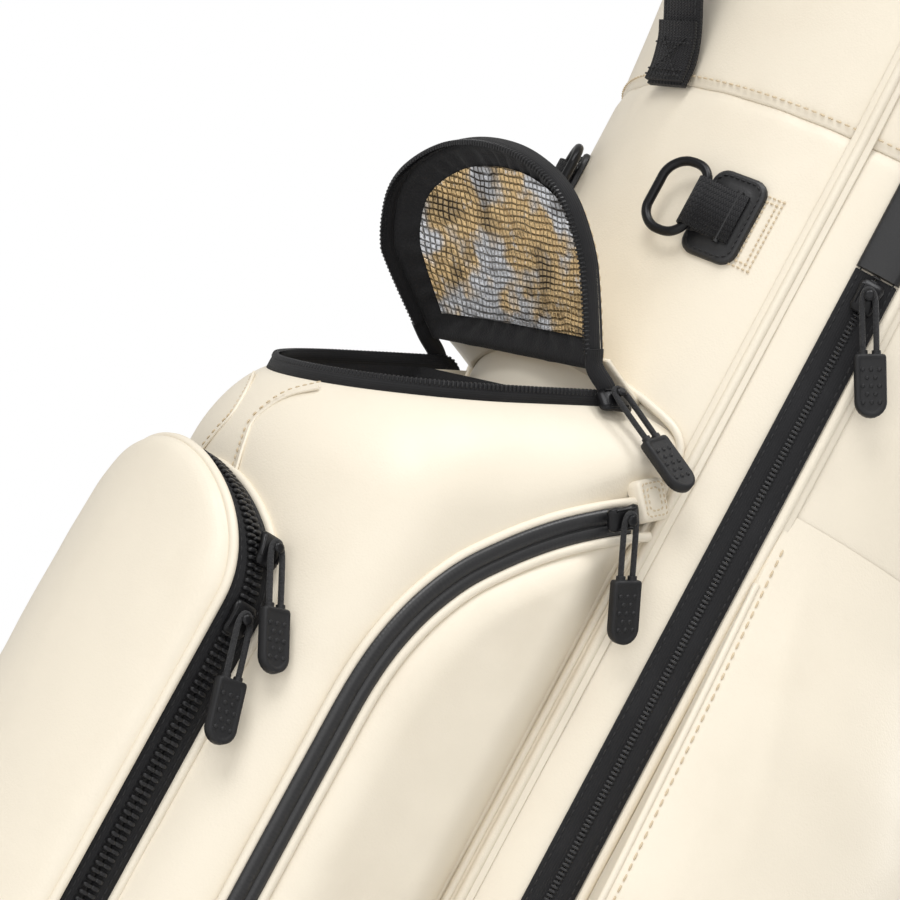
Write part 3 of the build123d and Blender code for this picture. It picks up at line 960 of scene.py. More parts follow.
# ------------------------------------------------------------------ studio
@dataclass
class Studio:
    """Camera, soft lights, floor and backdrop light."""

    aim: Vector = field(default_factory=lambda: Vector((14, -135.8, 538.6)))
    azimuth: float = 60.0
    elevation: float = -8.4
    lean: float = 28.5
    distance: float = 1500.0
    span: float = 342.0

    def camera(self) -> None:
        """Sets the camera square on the front pockets, with the bag leaning to the right."""
        a, e = math.radians(self.azimuth), math.radians(self.elevation)
        back = Vector((math.sin(a) * math.cos(e), -math.cos(a) * math.cos(e), math.sin(e)))
        right = UP.cross(back).normalized()
        up = back.cross(right)
        roll = math.radians(self.lean)
        leaned_up = up * math.cos(roll) - right * math.sin(roll)
        leaned_right = right * math.cos(roll) + up * math.sin(roll)
        data = bpy.data.cameras.new("camera")
        data.sensor_width = 36
        data.lens = 36 * self.distance / self.span
        data.clip_end = 50
        eye = bpy.data.objects.new("camera", data)
        eye.matrix_world = world_matrix(leaned_right, leaned_up, back, (self.aim + back * self.distance) * MM)
        bpy.context.scene.collection.objects.link(eye)
        bpy.context.scene.camera = eye

    def lights(self) -> None:
        """Large soft lights and a white surround that lights the bag only softly."""
        for name, place, size, power in (
            ("fill", (2.4, -1.1, 1.1), 1.8, 10),
            ("under", (1.2, -1.6, 0.12), 1.2, 4),
            ("back", (0.2, 2.2, 1.9), 1.6, 24),
            ("top", (0.6, -0.4, 2.8), 1.0, 20),
        ):
            data = bpy.data.lights.new(name, "AREA")
            data.shape = "DISK"
            data.size = size
            data.energy = power
            lamp = bpy.data.objects.new(name, data)
            lamp.location = place
            aim = Vector((0, -0.05, 0.5)) - Vector(place)
            lamp.rotation_euler = aim.to_track_quat("-Z", "Y").to_euler()
            bpy.context.scene.collection.objects.link(lamp)
        data = bpy.data.lights.new("key", "SUN")
        data.angle = math.radians(32)
        data.energy = 1.32
        lamp = bpy.data.objects.new("key", data)
        lamp.rotation_euler = Vector((-0.7, 2.0, -1.9)).to_track_quat("-Z", "Y").to_euler()
        bpy.context.scene.collection.objects.link(lamp)
        world = bpy.data.worlds.new("surround")
        world.use_nodes = True
        tree = world.node_tree
        bright = tree.nodes["Background"]
        bright.inputs[0].default_value = (1.0, 1.0, 1.0, 1.0)
        bright.inputs[1].default_value = 1.0
        soft = tree.nodes.new("ShaderNodeBackground")
        soft.inputs[0].default_value = (1.0, 0.99, 0.97, 1.0)
        soft.inputs[1].default_value = 0.48
        seen = tree.nodes.new("ShaderNodeLightPath")
        mixed = tree.nodes.new("ShaderNodeMixShader")
        tree.links.new(seen.outputs["Is Camera Ray"], mixed.inputs[0])
        tree.links.new(soft.outputs[0], mixed.inputs[1])
        tree.links.new(bright.outputs[0], mixed.inputs[2])
        tree.links.new(mixed.outputs[0], tree.nodes["World Output"].inputs[0])
        bpy.context.scene.world = world
        bpy.context.scene.view_settings.view_transform = "Standard"

    def floor(self) -> None:
        """Plain pale floor."""
        mesh = bpy.data.meshes.new("floor")
        mesh.from_pydata([(-40, -40, 0), (40, -40, 0), (40, 40, 0), (-40, 40, 0)], [], [(0, 1, 2, 3)])
        mesh.materials.append(Ground("studio_floor").material())
        ground = bpy.data.objects.new("floor", mesh)
        bpy.context.scene.collection.objects.link(ground)


def world_matrix(right: Vector, up: Vector, back: Vector, place: Vector) -> Matrix:
    """World matrix from three axes and a place.

    Args:
        right: its X axis.
        up: its Y axis.
        back: its Z axis.
        place: its origin, metres.

    Returns:
        The matrix.
    """
    turned = Matrix((right, up, back)).transposed().to_4x4()
    turned.translation = place
    return turned


# ------------------------------------------------------------------ zip pulls
@dataclass
class Pull:
    """Slider, its pin, the cord loop and the rubber tab."""

    stem: str
    base: Vector
    out: Vector
    along: Vector
    down: Vector

    def build(self) -> None:
        """Makes the three pieces."""
        self.down = self.down.normalized()
        self.out = self.out.normalized()
        self.along = self.along.normalized()
        self.pin = squared(self.out, self.down)
        self.root = self.base + self.out * 4.2
        self.hang = self.root + self.pin * 2.05
        self.side = self.pin.cross(-self.down)
        self.tab()
        self.cord()
        self.slider()

    def at(self, x: float, y: float, h: float = 0.0) -> Vector:
        """Point in the hanging frame: x up along the cord, y across, h out."""
        return self.hang - self.down * x + self.side * y + self.pin * h

    def slider(self) -> None:
        """Cast slider body with a waist, side rails and a rivet that holds the cord."""
        across = self.out.cross(self.along)
        shape = Shape(f"slider_{self.stem}_cast")
        rows = []
        for t, w, h in ((-6.5, 3.2, 1.6), (-6.1, 4.0, 2.4), (-4.5, 4.6, 3.2), (-1.5, 4.4, 3.9),
                        (1.5, 4.5, 3.9), (4.2, 5.0, 3.3), (6.0, 4.4, 2.5), (6.5, 3.6, 1.7)):
            ring = []
            for c, s in circle(16):
                x = w * math.copysign(abs(c) ** 0.6, c)
                y = h * (0.5 + 0.5 * math.copysign(abs(s) ** 0.6, s))
                ring.append(self.base + self.along * t + across * x + self.out * (y + 0.15))
            rows.append(ring)
        shape.grid(rows, round_rows=True)
        shape.lid(rows[0], flip=True).lid(rows[-1])
        for side in (-1, 1):
            middle = self.base + across * (side * 3.6) + self.out * 3.6
            rail = [middle + self.along * t for t in (-4, -2, 0, 2, 4)]
            shape.tube(rail, 0.55, 6, lambda p: self.out)
        pin = [self.root + self.pin * t for t in (-1.0, 0.5, 2.0, 3.4)]
        shape.tube(pin, 1.0, 12, lambda p: self.along)
        cap = []
        for h, r in ((3.3, 1.2), (3.35, 2.0), (3.7, 2.2), (4.1, 2.0), (4.4, 1.2)):
            rivet = self.root + self.pin * h
            cap.append([rivet + (self.side * c - self.down * s) * r for c, s in circle(12)])
        shape.grid(cap, round_rows=True).lid(cap[-1])
        body = "bag" if self.stem == "ball_upper" else f"slider_{self.stem}"
        shape.make(METAL, body, "black_metal", [f"slider_{self.stem}"])

    def cord(self) -> None:
        """Loop of round braided cord from the tab round the pin and back."""
        curve = bpy.data.curves.new(f"cord_{self.stem}_braid", "CURVE")
        curve.dimensions = "3D"
        line = curve.splines.new("NURBS")
        route = ((-25, 2.5), (-11, 2.7), (2.5, 2.5), (2.5, -2.5), (-11, -2.7), (-25, -2.5))
        line.points.add(len(route) - 1)
        for point, (x, y) in zip(line.points, route):
            point.co = (*(self.at(x, y) * MM), 1.0)
        line.order_u = 3
        line.use_endpoint_u = True
        line.resolution_u = 12
        curve.bevel_depth = 1.15 * MM
        curve.bevel_resolution = 3
        curve.materials.append(BRAID.material())
        piece = bpy.data.objects.new(curve.name, curve)
        bpy.context.scene.collection.objects.link(piece)
        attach(piece, f"pull_{self.stem}")
        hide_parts(f"cord_{self.stem}")
        tuple(self.at(-25, 2.5) * MM)

    def tab(self) -> None:
        """Rubber tab: square shoulders, round foot, two collars for the cord and a dimpled grip."""
        turns = [math.radians(degrees) for degrees in range(80, -81, -16)]
        outline = [(-40 - 6 * math.cos(a), 6 * math.sin(a)) for a in turns]
        shoulders = [(-23.2, -6.0), (-22.3, -5.6), (-22.0, -4.7), (-22.0, 0), (-22.0, 4.7), (-22.3, 5.6),
                     (-23.2, 6.0)]
        outline = [(-40, 6), *outline, (-40, -6), (-33, -6), (-28, -6), *shoulders, (-28, 6), (-33, 6)]
        shape = Shape(f"tab_{self.stem}_rubber")
        for face in (1, -1):
            shape.pillow(outline, ((0.0, 0.0), (0.05, 1.5), (0.5, 2.1), (1.2, 2.3), (1.9, 1.85), (2.4, 1.8)),
                         lambda x, y, h, face=face: self.at(x, y, h * face), flip=face < 0, rings=3)
        spacing = 3.1
        for face in (1, -1):
            for row in range(5):
                gaps = 1 + (row + 1) % 2
                for column in range(gaps + 1):
                    x = -28.0 - row * spacing
                    y = (column - gaps / 2) * spacing
                    dimple = [[self.at(x + r * c, y + r * s, face * h) for c, s in circle(8)]
                              for r, h in ((0.95, 1.7), (0.8, 2.15), (0.45, 2.35))]
                    shape.grid(dimple, round_rows=True, flip=face < 0).lid(dimple[-1], flip=face < 0)
        for y in (2.5, -2.5):
            collar = [self.at(x, y) for x in (-23.5, -22.0, -21.2, -20.6)]
            shape.tube(collar, 1.75, 12, lambda p: self.pin)
        self.tab_piece = shape.make(RUBBER, f"pull_{self.stem}", "rubber_charcoal", [f"tab_{self.stem}"])


def build_pulls() -> None:
    """Every zip pull, where its slider is parked."""
    lean = math.radians(Studio.lean)
    theta = LongZip.theta
    round_way = Vector((math.cos(math.radians(theta)), math.sin(math.radians(theta)), 0))
    slope = Vector((0, 0.80, 0.60))
    shoulder = Vector((0.72, -0.30, 0.625)).normalized()
    mouth = Vector((0, math.cos(math.radians(26.6)), math.sin(math.radians(26.6))))
    drape = Vector((0.67, 0.58, -0.46))
    zip_y = BallPocket.depth(BallPocket.half, 122.4)
    for pull in (
        Pull("zip_right", on_barrel(theta, 658, 2.5), outward(theta), UP,
             round_way * math.sin(lean) - UP * math.cos(lean)),
        Pull("zip_left", on_barrel(-theta, 658, 2.5), outward(-theta), UP, -UP),
        Pull("accessory_right", Vector((93.3, -104, 539)), Vector((1, 0, 0)), slope,
             Vector((0, math.sin(lean), -math.cos(lean)))),
        Pull("accessory_left", Vector((-93.3, -104, 539)), Vector((-1, 0, 0)), slope, -UP),
        Pull("cooler", Vector((66, -114, 577.7)) + shoulder * 0.35, shoulder,
             mouth - shoulder * mouth.dot(shoulder), drape - shoulder * drape.dot(shoulder)),
        Pull("ball_lower", Vector((61.3, zip_y, 437)), Vector((1, 0, 0)), UP, Vector((0.26, 0.16, -0.952))),
        Pull("ball_upper", Vector((56.4, zip_y, 463.5)), Vector((0.917, 0, 0.399)),
             Vector((-0.399, 0, 0.917)), Vector((0.36, 0.30, -0.88))),
    ):
        pull.build()


# ------------------------------------------------------------------ barrel
@dataclass
class Barrel:
    """Leather body and yoke, seams, piping and the small stitched patch."""

    low: float = 72.0
    high: float = 842.0
    turned_in: float = 0.955

    def build(self) -> None:
        """Makes the barrel's pieces."""
        self.skin()
        self.seams()
        self.patch()

    def surface(self, theta: float, z: float) -> Vector:
        """Leather surface with its shallow waves and the pucker along the seam.

        Args:
            theta: degrees round the barrel, from the front towards +X.
            z: height.

        Returns:
            The point.
        """
        p = on_barrel(theta, z)
        wave = 0.55 * ripple(p, 75, 3.1) + 0.22 * ripple(p, 24, 7.7)
        seam = -1.1 * math.exp(-(((z - SEAM_Z) / 2.6) ** 2))
        gathers = math.sin(math.radians(theta) * BODY_R / 5.5 * 1.35 + 2 * ripple(p, 30))
        pucker = 0.35 * math.exp(-abs(z - SEAM_Z) / 9) * gathers
        fade = min(1.0, (z - 78) / 12, (self.high - z) / 12)
        return on_barrel(theta, z, (wave * max(fade, 0) + seam + pucker - 0.35))

    def skin(self) -> None:
        """Body and yoke sheets, turned in at their ends."""
        turns = [k * 1.5 for k in range(240)]
        for name, low, high, node in (
            ("body_skin_leather", self.low, SEAM_Z - 0.4, "body_skin"),
            ("yoke_leather", SEAM_Z, self.high, "yoke_skin"),
        ):
            heights = []
            z = low
            while z < high:
                heights.append(z)
                near = min(abs(z - SEAM_Z), 30)
                z += 1.2 + near * 0.16
            heights.append(high)
            shape = Shape(name)
            rows = [[self.surface(t, z) for t in turns] for z in heights]
            hem = Vector((self.turned_in, self.turned_in, 1))
            rows = [[p * hem for p in rows[0]], *rows, [p * hem for p in rows[-1]]]
            shape.grid(rows, round_rows=True)
            shape.make(CREAM, "bag", "cream_leather", [node])

    def seams(self) -> None:
        """Stitches beside the yoke seam, the piped side seams and the stitched back seam."""
        thread = Shape("body_stitches")
        above = [on_barrel(k * 1.5, SEAM_Z + 3.4) for k in range(241)]
        thread.stitches(above, around, pitch=3.6, length=2.2)
        piping = Shape("body_piping")
        welt = Shape("body_welt")
        for theta, low in ((45.8, 80), (-45.8, 80), (64.9, 110), (-64.9, 110)):
            line = [on_barrel(theta, z, 0.7) for z in range(low, 843, 8)]
            piping.tube(line, 2.1, 10, around)
            welt.strip(line, around, flat_section(9, 0.9, -0.7))
        back = [on_barrel(180, z, 0.4) for z in range(80, 842, 8)]
        welt.strip(back, around, flat_section(22, 1.0, -0.6))
        for side in (-8.5, 8.5):
            thread.stitches(back, around, side=side, pitch=4.4, lift=0.7)
        thread.make(CREAM_THREAD, "bag", "cream_leather")
        piping.make(CREAM, "bag", "cream_leather")
        welt.make(CREAM, "bag", "cream_leather")

    def patch(self) -> None:
        """Small rectangle of close double stitching beside the D ring, on both sides."""
        shape = Shape("body_tack_stitches")
        for middle in (36.0, -36.0):
            for half, tall in ((4.2, 15.0), (2.1, 12.8)):
                width = math.degrees(half / BODY_R)
                signs = ((-1, -1), (1, -1), (1, 1), (-1, 1))
                corners = [(middle + a * width, 663 + b * tall) for a, b in signs]
                for (a, za), (b, zb) in zip(corners, corners[1:] + corners[:1]):
                    line = [on_barrel(a + (b - a) * k / 6, za + (zb - za) * k / 6, 0.2) for k in range(7)]
                    shape.stitches(line, around, pitch=2.1, length=1.4, radius=0.36, lift=0.1)
        shape.make(CREAM_THREAD, "bag", "cream_leather")


# ------------------------------------------------------------------ handle and D rings
@dataclass
class FrontHandle:
    """Webbing grab handle with its folded foot and box stitching."""

    def build(self) -> None:
        """Makes the webbing and its stitches."""
        front = lambda p: Vector((0, -1, 0.05))
        bow = ((-120.6, 709), (-121.4, 719), (-125.6, 730), (-135, 746), (-144.6, 765), (-147.6, 783),
               (-145.4, 802), (-138.6, 820), (-131.2, 838))
        path = evenly(spline([(0, y, z) for y, z in bow], 7), 2.0)
        web = Shape("front_handle_webbing")
        web.strip(path, front, flat_section(25, 2.2, -1.1))
        fold = spline(((0, -120.6, 710), (0, -121.2, 717), (0, -124.2, 727), (0, -127.6, 733)), 4)
        foot = [p + Vector((0, -2.3, 0)) for p in evenly(fold, 2.0)]
        web.strip(foot, front, flat_section(25, 1.9, -1.0))
        web.make(WEBBING, "bag", "webbing_black", ["front_handle"])
        thread = Shape("front_handle_stitches")
        edge = [p for p in path if p.z > 736]
        for side in (-10.6, 10.6):
            thread.stitches(edge, front, side=side, pitch=3.6, length=2.6, lift=1.2)
        for z in (711.5, 714.0, 724.5, 727.0):
            y = -123.8 if z < 720 else -126.4
            line = [Vector((x, y, z)) for x in range(-11, 12, 2)]
            thread.stitches(line, front, pitch=2.6, length=1.8, lift=1.0)
        for side in (-1, 1):
            line = [Vector((side * (2 * k - 9), -124.0 - 2.4 * k / 8, 712 + 14 * k / 8)) for k in range(9)]
            thread.stitches(line, front, pitch=2.6, length=1.8, lift=1.2)
        thread.make(BLACK_THREAD, "bag", "webbing_black")


@dataclass
class DRing:
    """Stitched plate, webbing sling and wire D ring on one side."""

    side: int
    theta: float = 25.5
    height: float = 664.0
    bar_out: float = 6.4
    wire: float = 1.9

    def build(self) -> None:
        """Makes the pieces of one D ring."""
        name = hand(self.side)
        theta = self.theta * self.side
        self.out = outward(theta)
        self.front = outward(theta - 90) * self.side
        self.bar = on_barrel(theta, self.height) + self.out * self.bar_out
        self.plate(name)
        self.sling(name)
        self.ring(name)

    def at(self, a: float, z: float, h: float) -> Vector:
        """Point on the barrel near the ring: a towards the front, z up, h out."""
        theta = (self.theta - math.degrees(a / BODY_R)) * self.side
        return on_barrel(theta, self.height + z, h)

    def plate(self, name: str) -> None:
        """Rounded leather plate with a raised rib and border stitches.

        Args:
            name: right or left, for the names of pieces.
        """
        outline = [(x - 7.0, z) for x, z in rounded_box(24, 36, 6)]
        shape = Shape(f"dring_plate_{name}_leather")
        shape.pillow(outline, ((0, 0.1), (0.05, 1.5), (0.7, 2.2), (1.6, 2.35), (3.2, 1.95), (5.0, 2.3)),
                     self.at, crown=0.5, flip=self.side > 0)
        rib = [self.at(-9.5, z, 2.6) for z in range(-11, 12, 2)]
        shape.tube(rib, 1.5, 10, lambda p: self.out)
        shape.make(BLACK_LEATHER, "bag", "black_leather", ["dring_plates"] if self.side > 0 else [])
        thread = Shape(f"dring_plate_{name}_stitches")
        box = rounded_box(19.5, 31.5, 4.4)
        line = [self.at(x - 7.0, z, 2.3) for x, z in [*box, box[0]]]
        thread.stitches(line, lambda p: self.out, pitch=2.6, length=1.8, radius=0.36)
        thread.make(BLACK_THREAD, "bag", "black_leather")

    def sling(self, name: str) -> None:
        """Grosgrain folded round the ring's bar and sewn under the plate.

        Args:
            name: right or left, for the names of pieces.
        """
        bar = self.bar + self.front * 2.95
        path = [self.at(-14, 0, 3.2), self.at(-8, 0, 3.6)]
        for degrees in range(150, -160, -20):
            a = math.radians(degrees)
            path.append(bar + self.front * (3.35 * math.cos(a)) + self.out * (3.35 * math.sin(a)))
        path += [self.at(-7, 0, 2.7), self.at(-13, 0, 2.6)]
        shape = Shape(f"dring_sling_{name}_grosgrain")
        band = ((-10, -0.55), (10, -0.55), (10, 0.55), (-10, 0.55))
        rows = []
        for p, way in zip(path, headings(path)):
            normal = way.cross(UP).normalized()
            rows.append([p + UP * z + normal * t for z, t in band])
        shape.grid(rows, round_rows=True)
        shape.make(WEBBING, "bag", "webbing_black", ["dring_slings"] if self.side > 0 else [])

    def ring(self, name: str) -> None:
        """Bent wire D with its butt joint.

        Args:
            name: right or left, for the names of pieces.
        """
        centre = self.bar + self.front * 3.2
        outline = rounded_box(18.5, 29.5, 8.2, 8)
        path = []
        for x, z in outline:
            bow = 1.6 * (1 - (z / 15) ** 2) if x > 3 else 0
            path.append(centre + self.front * (9 + x + bow) + UP * z)
        path.append(path[0])
        shape = Shape(f"dring_{name}_wire")
        path = evenly(path, 1.2)
        rows = []
        count = len(path) - 1
        for k in range(count):
            way = (path[(k + 1) % count] - path[k - 1 if k else count - 1]).normalized()
            side = way.cross(self.out)
            rows.append([path[k] + (side * c + self.out * s) * self.wire for c, s in circle(12)])
        rows.append(rows[0])
        shape.grid(rows, round_rows=True)
        shape.make(METAL, f"dring_{name}", "black_metal", [f"dring_{name}"])


# ------------------------------------------------------------------ front stack
def rim_z(y: float) -> float:
    """Height of the cooler's leather edge at depth y."""
    return 531.5 + (y + 204) * 0.5008


MOUTH = ((61.5, -104), (62, -112), (62, -122), (61.8, -142), (60.3, -162), (55, -177), (46, -188.5),
         (33, -197), (17, -202.3), (0, -204))
OUTLINE = ((80.5, -86.5), (84, -102), (86.5, -122), (86.6, -146), (85.4, -169), (78, -183.5), (64, -194.8),
           (43, -205.5), (21, -211.8), (0, -213.8))
BROW = (577, 558, 538, 519, 507, 502, 500, 499, 498, 498)


def both_sides(points: Sequence[Sequence[float]]) -> list[tuple[float, ...]]:
    """Right-hand points, then the same mirrored, as one run from right to left."""
    return [tuple(p) for p in points] + [(-p[0], *p[1:]) for p in reversed(points[:-1])]


@dataclass
class Stack:
    """Leather walls of the front stack, from the cooler's mouth down to the ball pocket's floor."""

    floor: float = 150.0

    def build(self) -> None:
        """Makes the walls and their trims."""
        brow = spline(both_sides([(x, y, z) for (x, y), z in zip(OUTLINE, BROW)]), 8)
        self.brow = evenly(brow, 3.0)
        mouth = spline(both_sides([(x, y, rim_z(y)) for x, y in MOUTH]), 8)
        total = sum((b - a).length for a, b in zip(mouth, mouth[1:]))
        self.mouth = evenly(mouth, total / (len(self.brow) - 1))
        self.walls()
        self.trims()

    @staticmethod
    def away(p: Vector) -> Vector:
        """Horizontal direction out of the stack."""
        return Vector((p.x, (p.y + 128) * (0.9 if p.y < -128 else 0.35), 0)).normalized()

    @staticmethod
    def is_wall(p: Vector) -> bool:
        """Whether the wall is there, outside the arched opening of the ball pocket.

        Args:
            p: a point.

        Returns:
            True where there is leather.
        """
        half = BallPocket.half - 1
        arch = BallPocket.arch + (BallPocket.rise - 1) * math.sqrt(max(0.0, 1 - (p.x / half) ** 2))
        return p.y > -180 or abs(p.x) > half or not BallPocket.bottom + 1 < p.z < arch

    def walls(self) -> None:
        """Wall from the mouth over the rounded shoulder and straight down."""
        rows = []
        for k in range(15):
            t = k / 14
            spread = 3 * 0.42 * t * (1 - t) ** 2 + 3 * 1.0 * t * t * (1 - t) + t**3
            fall = 3 * 0.12 * t * (1 - t) ** 2 + 3 * 0.50 * t * t * (1 - t) + t**3
            row = []
            for m, b in zip(self.mouth, self.brow):
                p = Vector((m.x + (b.x - m.x) * spread, m.y + (b.y - m.y) * spread, m.z + (b.z - m.z) * fall))
                row.append(p + Vector((0, 0, 0.8 * ripple(p, 30, 6.0) * math.sin(math.pi * t))))
            rows.append(row)
        for k in range(1, 64):
            t = k / 63
            row = []
            for b in self.brow:
                p = Vector((b.x, b.y, b.z + (self.floor - b.z) * t))
                wave = 0.7 * ripple(p, 52, 1.7) + 0.25 * ripple(p, 19, 5.2)
                row.append(p + self.away(p) * (wave * min(1, t * 5)))
            rows.append(row)
        split = 38
        lip = [m - self.away(m) * 2.6 + Vector((0, 0, 0.2)) for m in self.mouth]
        inside = [m - self.away(m) * 3.4 - Vector((0, 0, 5)) for m in self.mouth]
        upper = Shape("cooler_wall_leather")
        upper.grid([inside, lip, *rows[:split]], flip=True, kept=self.is_wall)
        upper.make(CREAM, "bag", "cream_leather", ["cooler_wall"])
        lower = Shape("ball_pocket_shell_leather")
        lower.grid(rows[split - 1:], flip=True, kept=self.is_wall)
        lower.lid([*rows[-1], *[on_barrel(theta, self.floor) for theta in (-41, -20, 0, 20, 41)]], flip=True)
        lower.make(CREAM, "bag", "cream_leather", ["ball_pocket_shell"])

    def trims(self) -> None:
        """Piping where the stack meets the barrel, and the seam between its front and side panels."""
        piping = Shape("cooler_piping")
        thread = Shape("cooler_stitches")
        for side in (1, -1):
            fold = [on_barrel(side * theta, z, lift) for theta, z, lift in (
                (18, 592, 0.6), (27, 589, 0.8), (35, 585, 1.2), (41, 580, 1.8), (43.4, 571, 1.6),
                (43.6, 550, 1.0),
            )]
            down = [on_barrel(side * 43.6, z, 0.8) for z in range(500, 149, -50)]
            piping.tube(evenly(spline([*fold, *down], 8), 2.5), 1.7, 8, around)
            seam = evenly(spline([(side * x, y, z) for x, y, z in (
                (26, -204.5, 529), (15, -209.3, 521), (9, -212.6, 509), (12, -213.4, 500),
                (17, -213.4, 488),
            )], 8), 2)
            piping.tube(seam, 0.7, 6, self.away)
            thread.stitches(seam, self.away, side=2.4, pitch=3.0, length=1.9, radius=0.34, lift=0.3)
        piping.make(CREAM, "bag", "cream_leather")
        thread.make(CREAM_THREAD, "bag", "cream_leather")


@dataclass
class Cooler:
    """Foil-lined cooler pocket: lining, mouth zip and the open lid."""

    hinge: Vector = field(default_factory=lambda: Vector((0, -121.5, 584.8)))
    lift: float = 48.4
    half_width: float = 62.6
    middle: float = 44.5
    half_length: float = 42.5

    def build(self) -> None:
        """Makes the lining, the zip and the lid."""
        a = math.radians(self.lift)
        self.ahead = Vector((0, -math.cos(a), math.sin(a)))
        self.over = Vector((0, math.sin(a), math.cos(a)))
        self.lining()
        self.mouth_zip()
        self.lid_shell()
        self.lid_lining()
        self.lid_zip()
        self.hinge_cloth()
        self.zip_bend()

    def lining(self) -> None:
        """Crinkled foil box under the mouth, hung from a black binding."""
        mouth = evenly(spline(both_sides(MOUTH[2:]), 8), 3)
        binding, foil = [], []
        for k in range(5):
            drop, inset = 4.5 * k - 1, 3.0 + 0.5 * k
            binding.append([Vector((m.x, m.y, rim_z(m.y) - drop)) - Stack.away(m) * inset for m in mouth])
        for k in range(26):
            row = []
            for m in mouth:
                top = rim_z(m.y) - 15
                p = Vector((m.x, m.y, top + (438 - top) * k / 25)) - Stack.away(m) * 5.5
                crinkle = 1.6 * abs(ripple(p, 14, 2.0)) + 0.9 * ripple(p, 5, 9.0)
                row.append(p - Stack.away(m) * (crinkle * min(1, k / 2)))
            foil.append(row)
        shape = Shape("cooler_lining_foil")
        shape.grid(foil, round_rows=True)
        shape.lid(foil[-1])
        shape.make(FOIL, "bag", "foil_lining", ["cooler_liner"])
        Shape("cooler_mouth_binding").grid(binding, round_rows=True).make(LINING, "bag", "zip_black")

    def mouth_zip(self) -> None:
        """Half zip standing on the mouth: tape and coil."""
        mouth = [p for p in evenly(spline(both_sides(MOUTH), 8), 2.5) if p.y < -105]
        path = [Vector((p.x, p.y, rim_z(p.y) + 2.6 - 0.20 * max(0.0, p.y + 114) ** 1.7)) for p in mouth]
        shape = Shape("cooler_zip_tape")
        shape.strip(path, Stack.away, [(-3.4, -1.0), (3.4, -1.0), (3.4, 0.5), (-3.4, 0.5)])
        shape.make(TAPE, "bag", "zip_black", ["cooler_rim_zip"])
        coil = Shape("cooler_zip_coil")
        top = [p + Vector((0, 0, 2.6)) for p in path]
        coil.blocks(evenly(top, 1.0), Stack.away, 1.7, (1.0, 2.6, 2.0), lift=-1.1)
        coil.make(TEETH, "bag", "zip_black")

    def put(self, x: float, t: float, h: float) -> Vector:
        """Point on the lid: across, out from the hinge, above its plane; its left edge droops.

        Args:
            x: distance across.
            t: distance from the hinge.
            h: height off the surface.

        Returns:
            The point.
        """
        droop = 0.06 * x - 9.5 * max(0.0, (-x - 22) / 40) ** 1.6
        sag = droop * min(1.0, max(0.0, t / 42))
        return self.hinge + Vector((x, 0, 0)) + self.ahead * t + self.over * (h + sag)

    def outline(self, inset: float = 0.0) -> list[Point2]:
        """D shape of the lid, moved in by inset, hinge side last.

        Args:
            inset: distance in from the edge.

        Returns:
            The outline's points.
        """
        right = ((62, 2), (62.6, 20), (62.4, 37), (60.6, 52), (54.5, 67), (43, 77), (24, 84.5), (0, 87))
        curve = evenly(spline(both_sides(right), 8), 2.5)
        points = [*curve, *[Vector((-62 + 4 * k, 2)) for k in range(1, 31)]]
        narrow, short = 1 - inset / self.half_width, 1 - inset / self.half_length
        return [(p.x * narrow, self.middle + (p.y - self.middle) * short) for p in points]

    def edge(self, inset: float) -> list[Point2]:
        """The lid's outline without its hinge side."""
        return self.outline(inset)[:-31]

    def soft(self, piece: bpy.types.Object) -> None:
        """Gives the piece its own copy of its mesh."""
        tuple(self.over)
        tuple(self.put(0, 40, -1.6) * MM)
        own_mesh(piece)

    @staticmethod
    def dome(x: float, t: float) -> float:
        """Bulge of the lid."""
        return max(0.0, 1 - (x / 64) ** 2) * max(0.0, math.sin(math.pi * min(max(t, 0) / 92, 1)))

    def lid_shell(self) -> None:
        """Leather outside of the lid."""
        shape = Shape("cooler_lid_leather")
        put = lambda x, t, h: self.put(x, t, h + 0.5 * ripple(Vector((x, t, h)), 22, 4.4) * min(1, h / 3))
        profile = ((0.0, 0.2), (0.4, 1.0), (2.0, 2.2), (5.0, 4.0), (10.0, 6.6), (16.0, 8.6))
        shape.pillow(self.outline(), profile, put, crown=2.4, rings=14)
        self.soft(shape.make(CREAM, "cooler_lid", "cream_leather", ["cooler_lid"]))
        thread = Shape("cooler_lid_stitches")
        inner = [self.put(x, t, 4.3) for x, t in self.edge(5.0)[:-1]]
        thread.stitches(evenly(inner, 2.5), lambda p: self.over, pitch=4.2, lift=0.4)
        self.soft(thread.make(CREAM_THREAD, "cooler_lid", "cream_leather"))

    def lid_lining(self) -> None:
        """Foil pad inside the lid, framed by a puckered black border."""

        def tuck(x: float, t: float, h: float) -> Vector:
            """Point on the gathered border.

            Args:
                x: distance across.
                t: distance from the hinge.
                h: height off the surface.

            Returns:
                The point.
            """
            turn = math.atan2(t - 40, x)
            gather = math.sin(turn * 34 + 5 * ripple(Vector((x, t, 0)), 16, 1.0))
            gather += 0.6 * ripple(Vector((x, t, 3)), 7, 4.0)
            return self.put(x, t, h + 0.8 * gather * min(1, max(0, h + 0.6)))

        border = Shape("cooler_lid_border")
        profile = ((0.0, 0.3), (0.3, -0.7), (2.5, -1.0), (4.0, -0.8), (5.5, 0.2), (7.0, 1.0), (8.5, 1.6),
                   (10.0, 2.2), (13.0, 3.4))
        border.pillow(self.outline(), profile, tuck, crown=2.0, rings=4, flip=True)
        self.soft(border.make(LINING, "cooler_lid", "zip_black"))

        def crumple(x: float, t: float, h: float) -> Vector:
            """Point on the crumpled foil."""
            crinkle = 1.1 * ripple(Vector((x, t, 0)), 12, 6.0) + 0.5 * ripple(Vector((x, t, 5)), 5, 2.0)
            return self.put(x, t, 0.7 + 2.2 * self.dome(x, t) + crinkle * min(1, h))

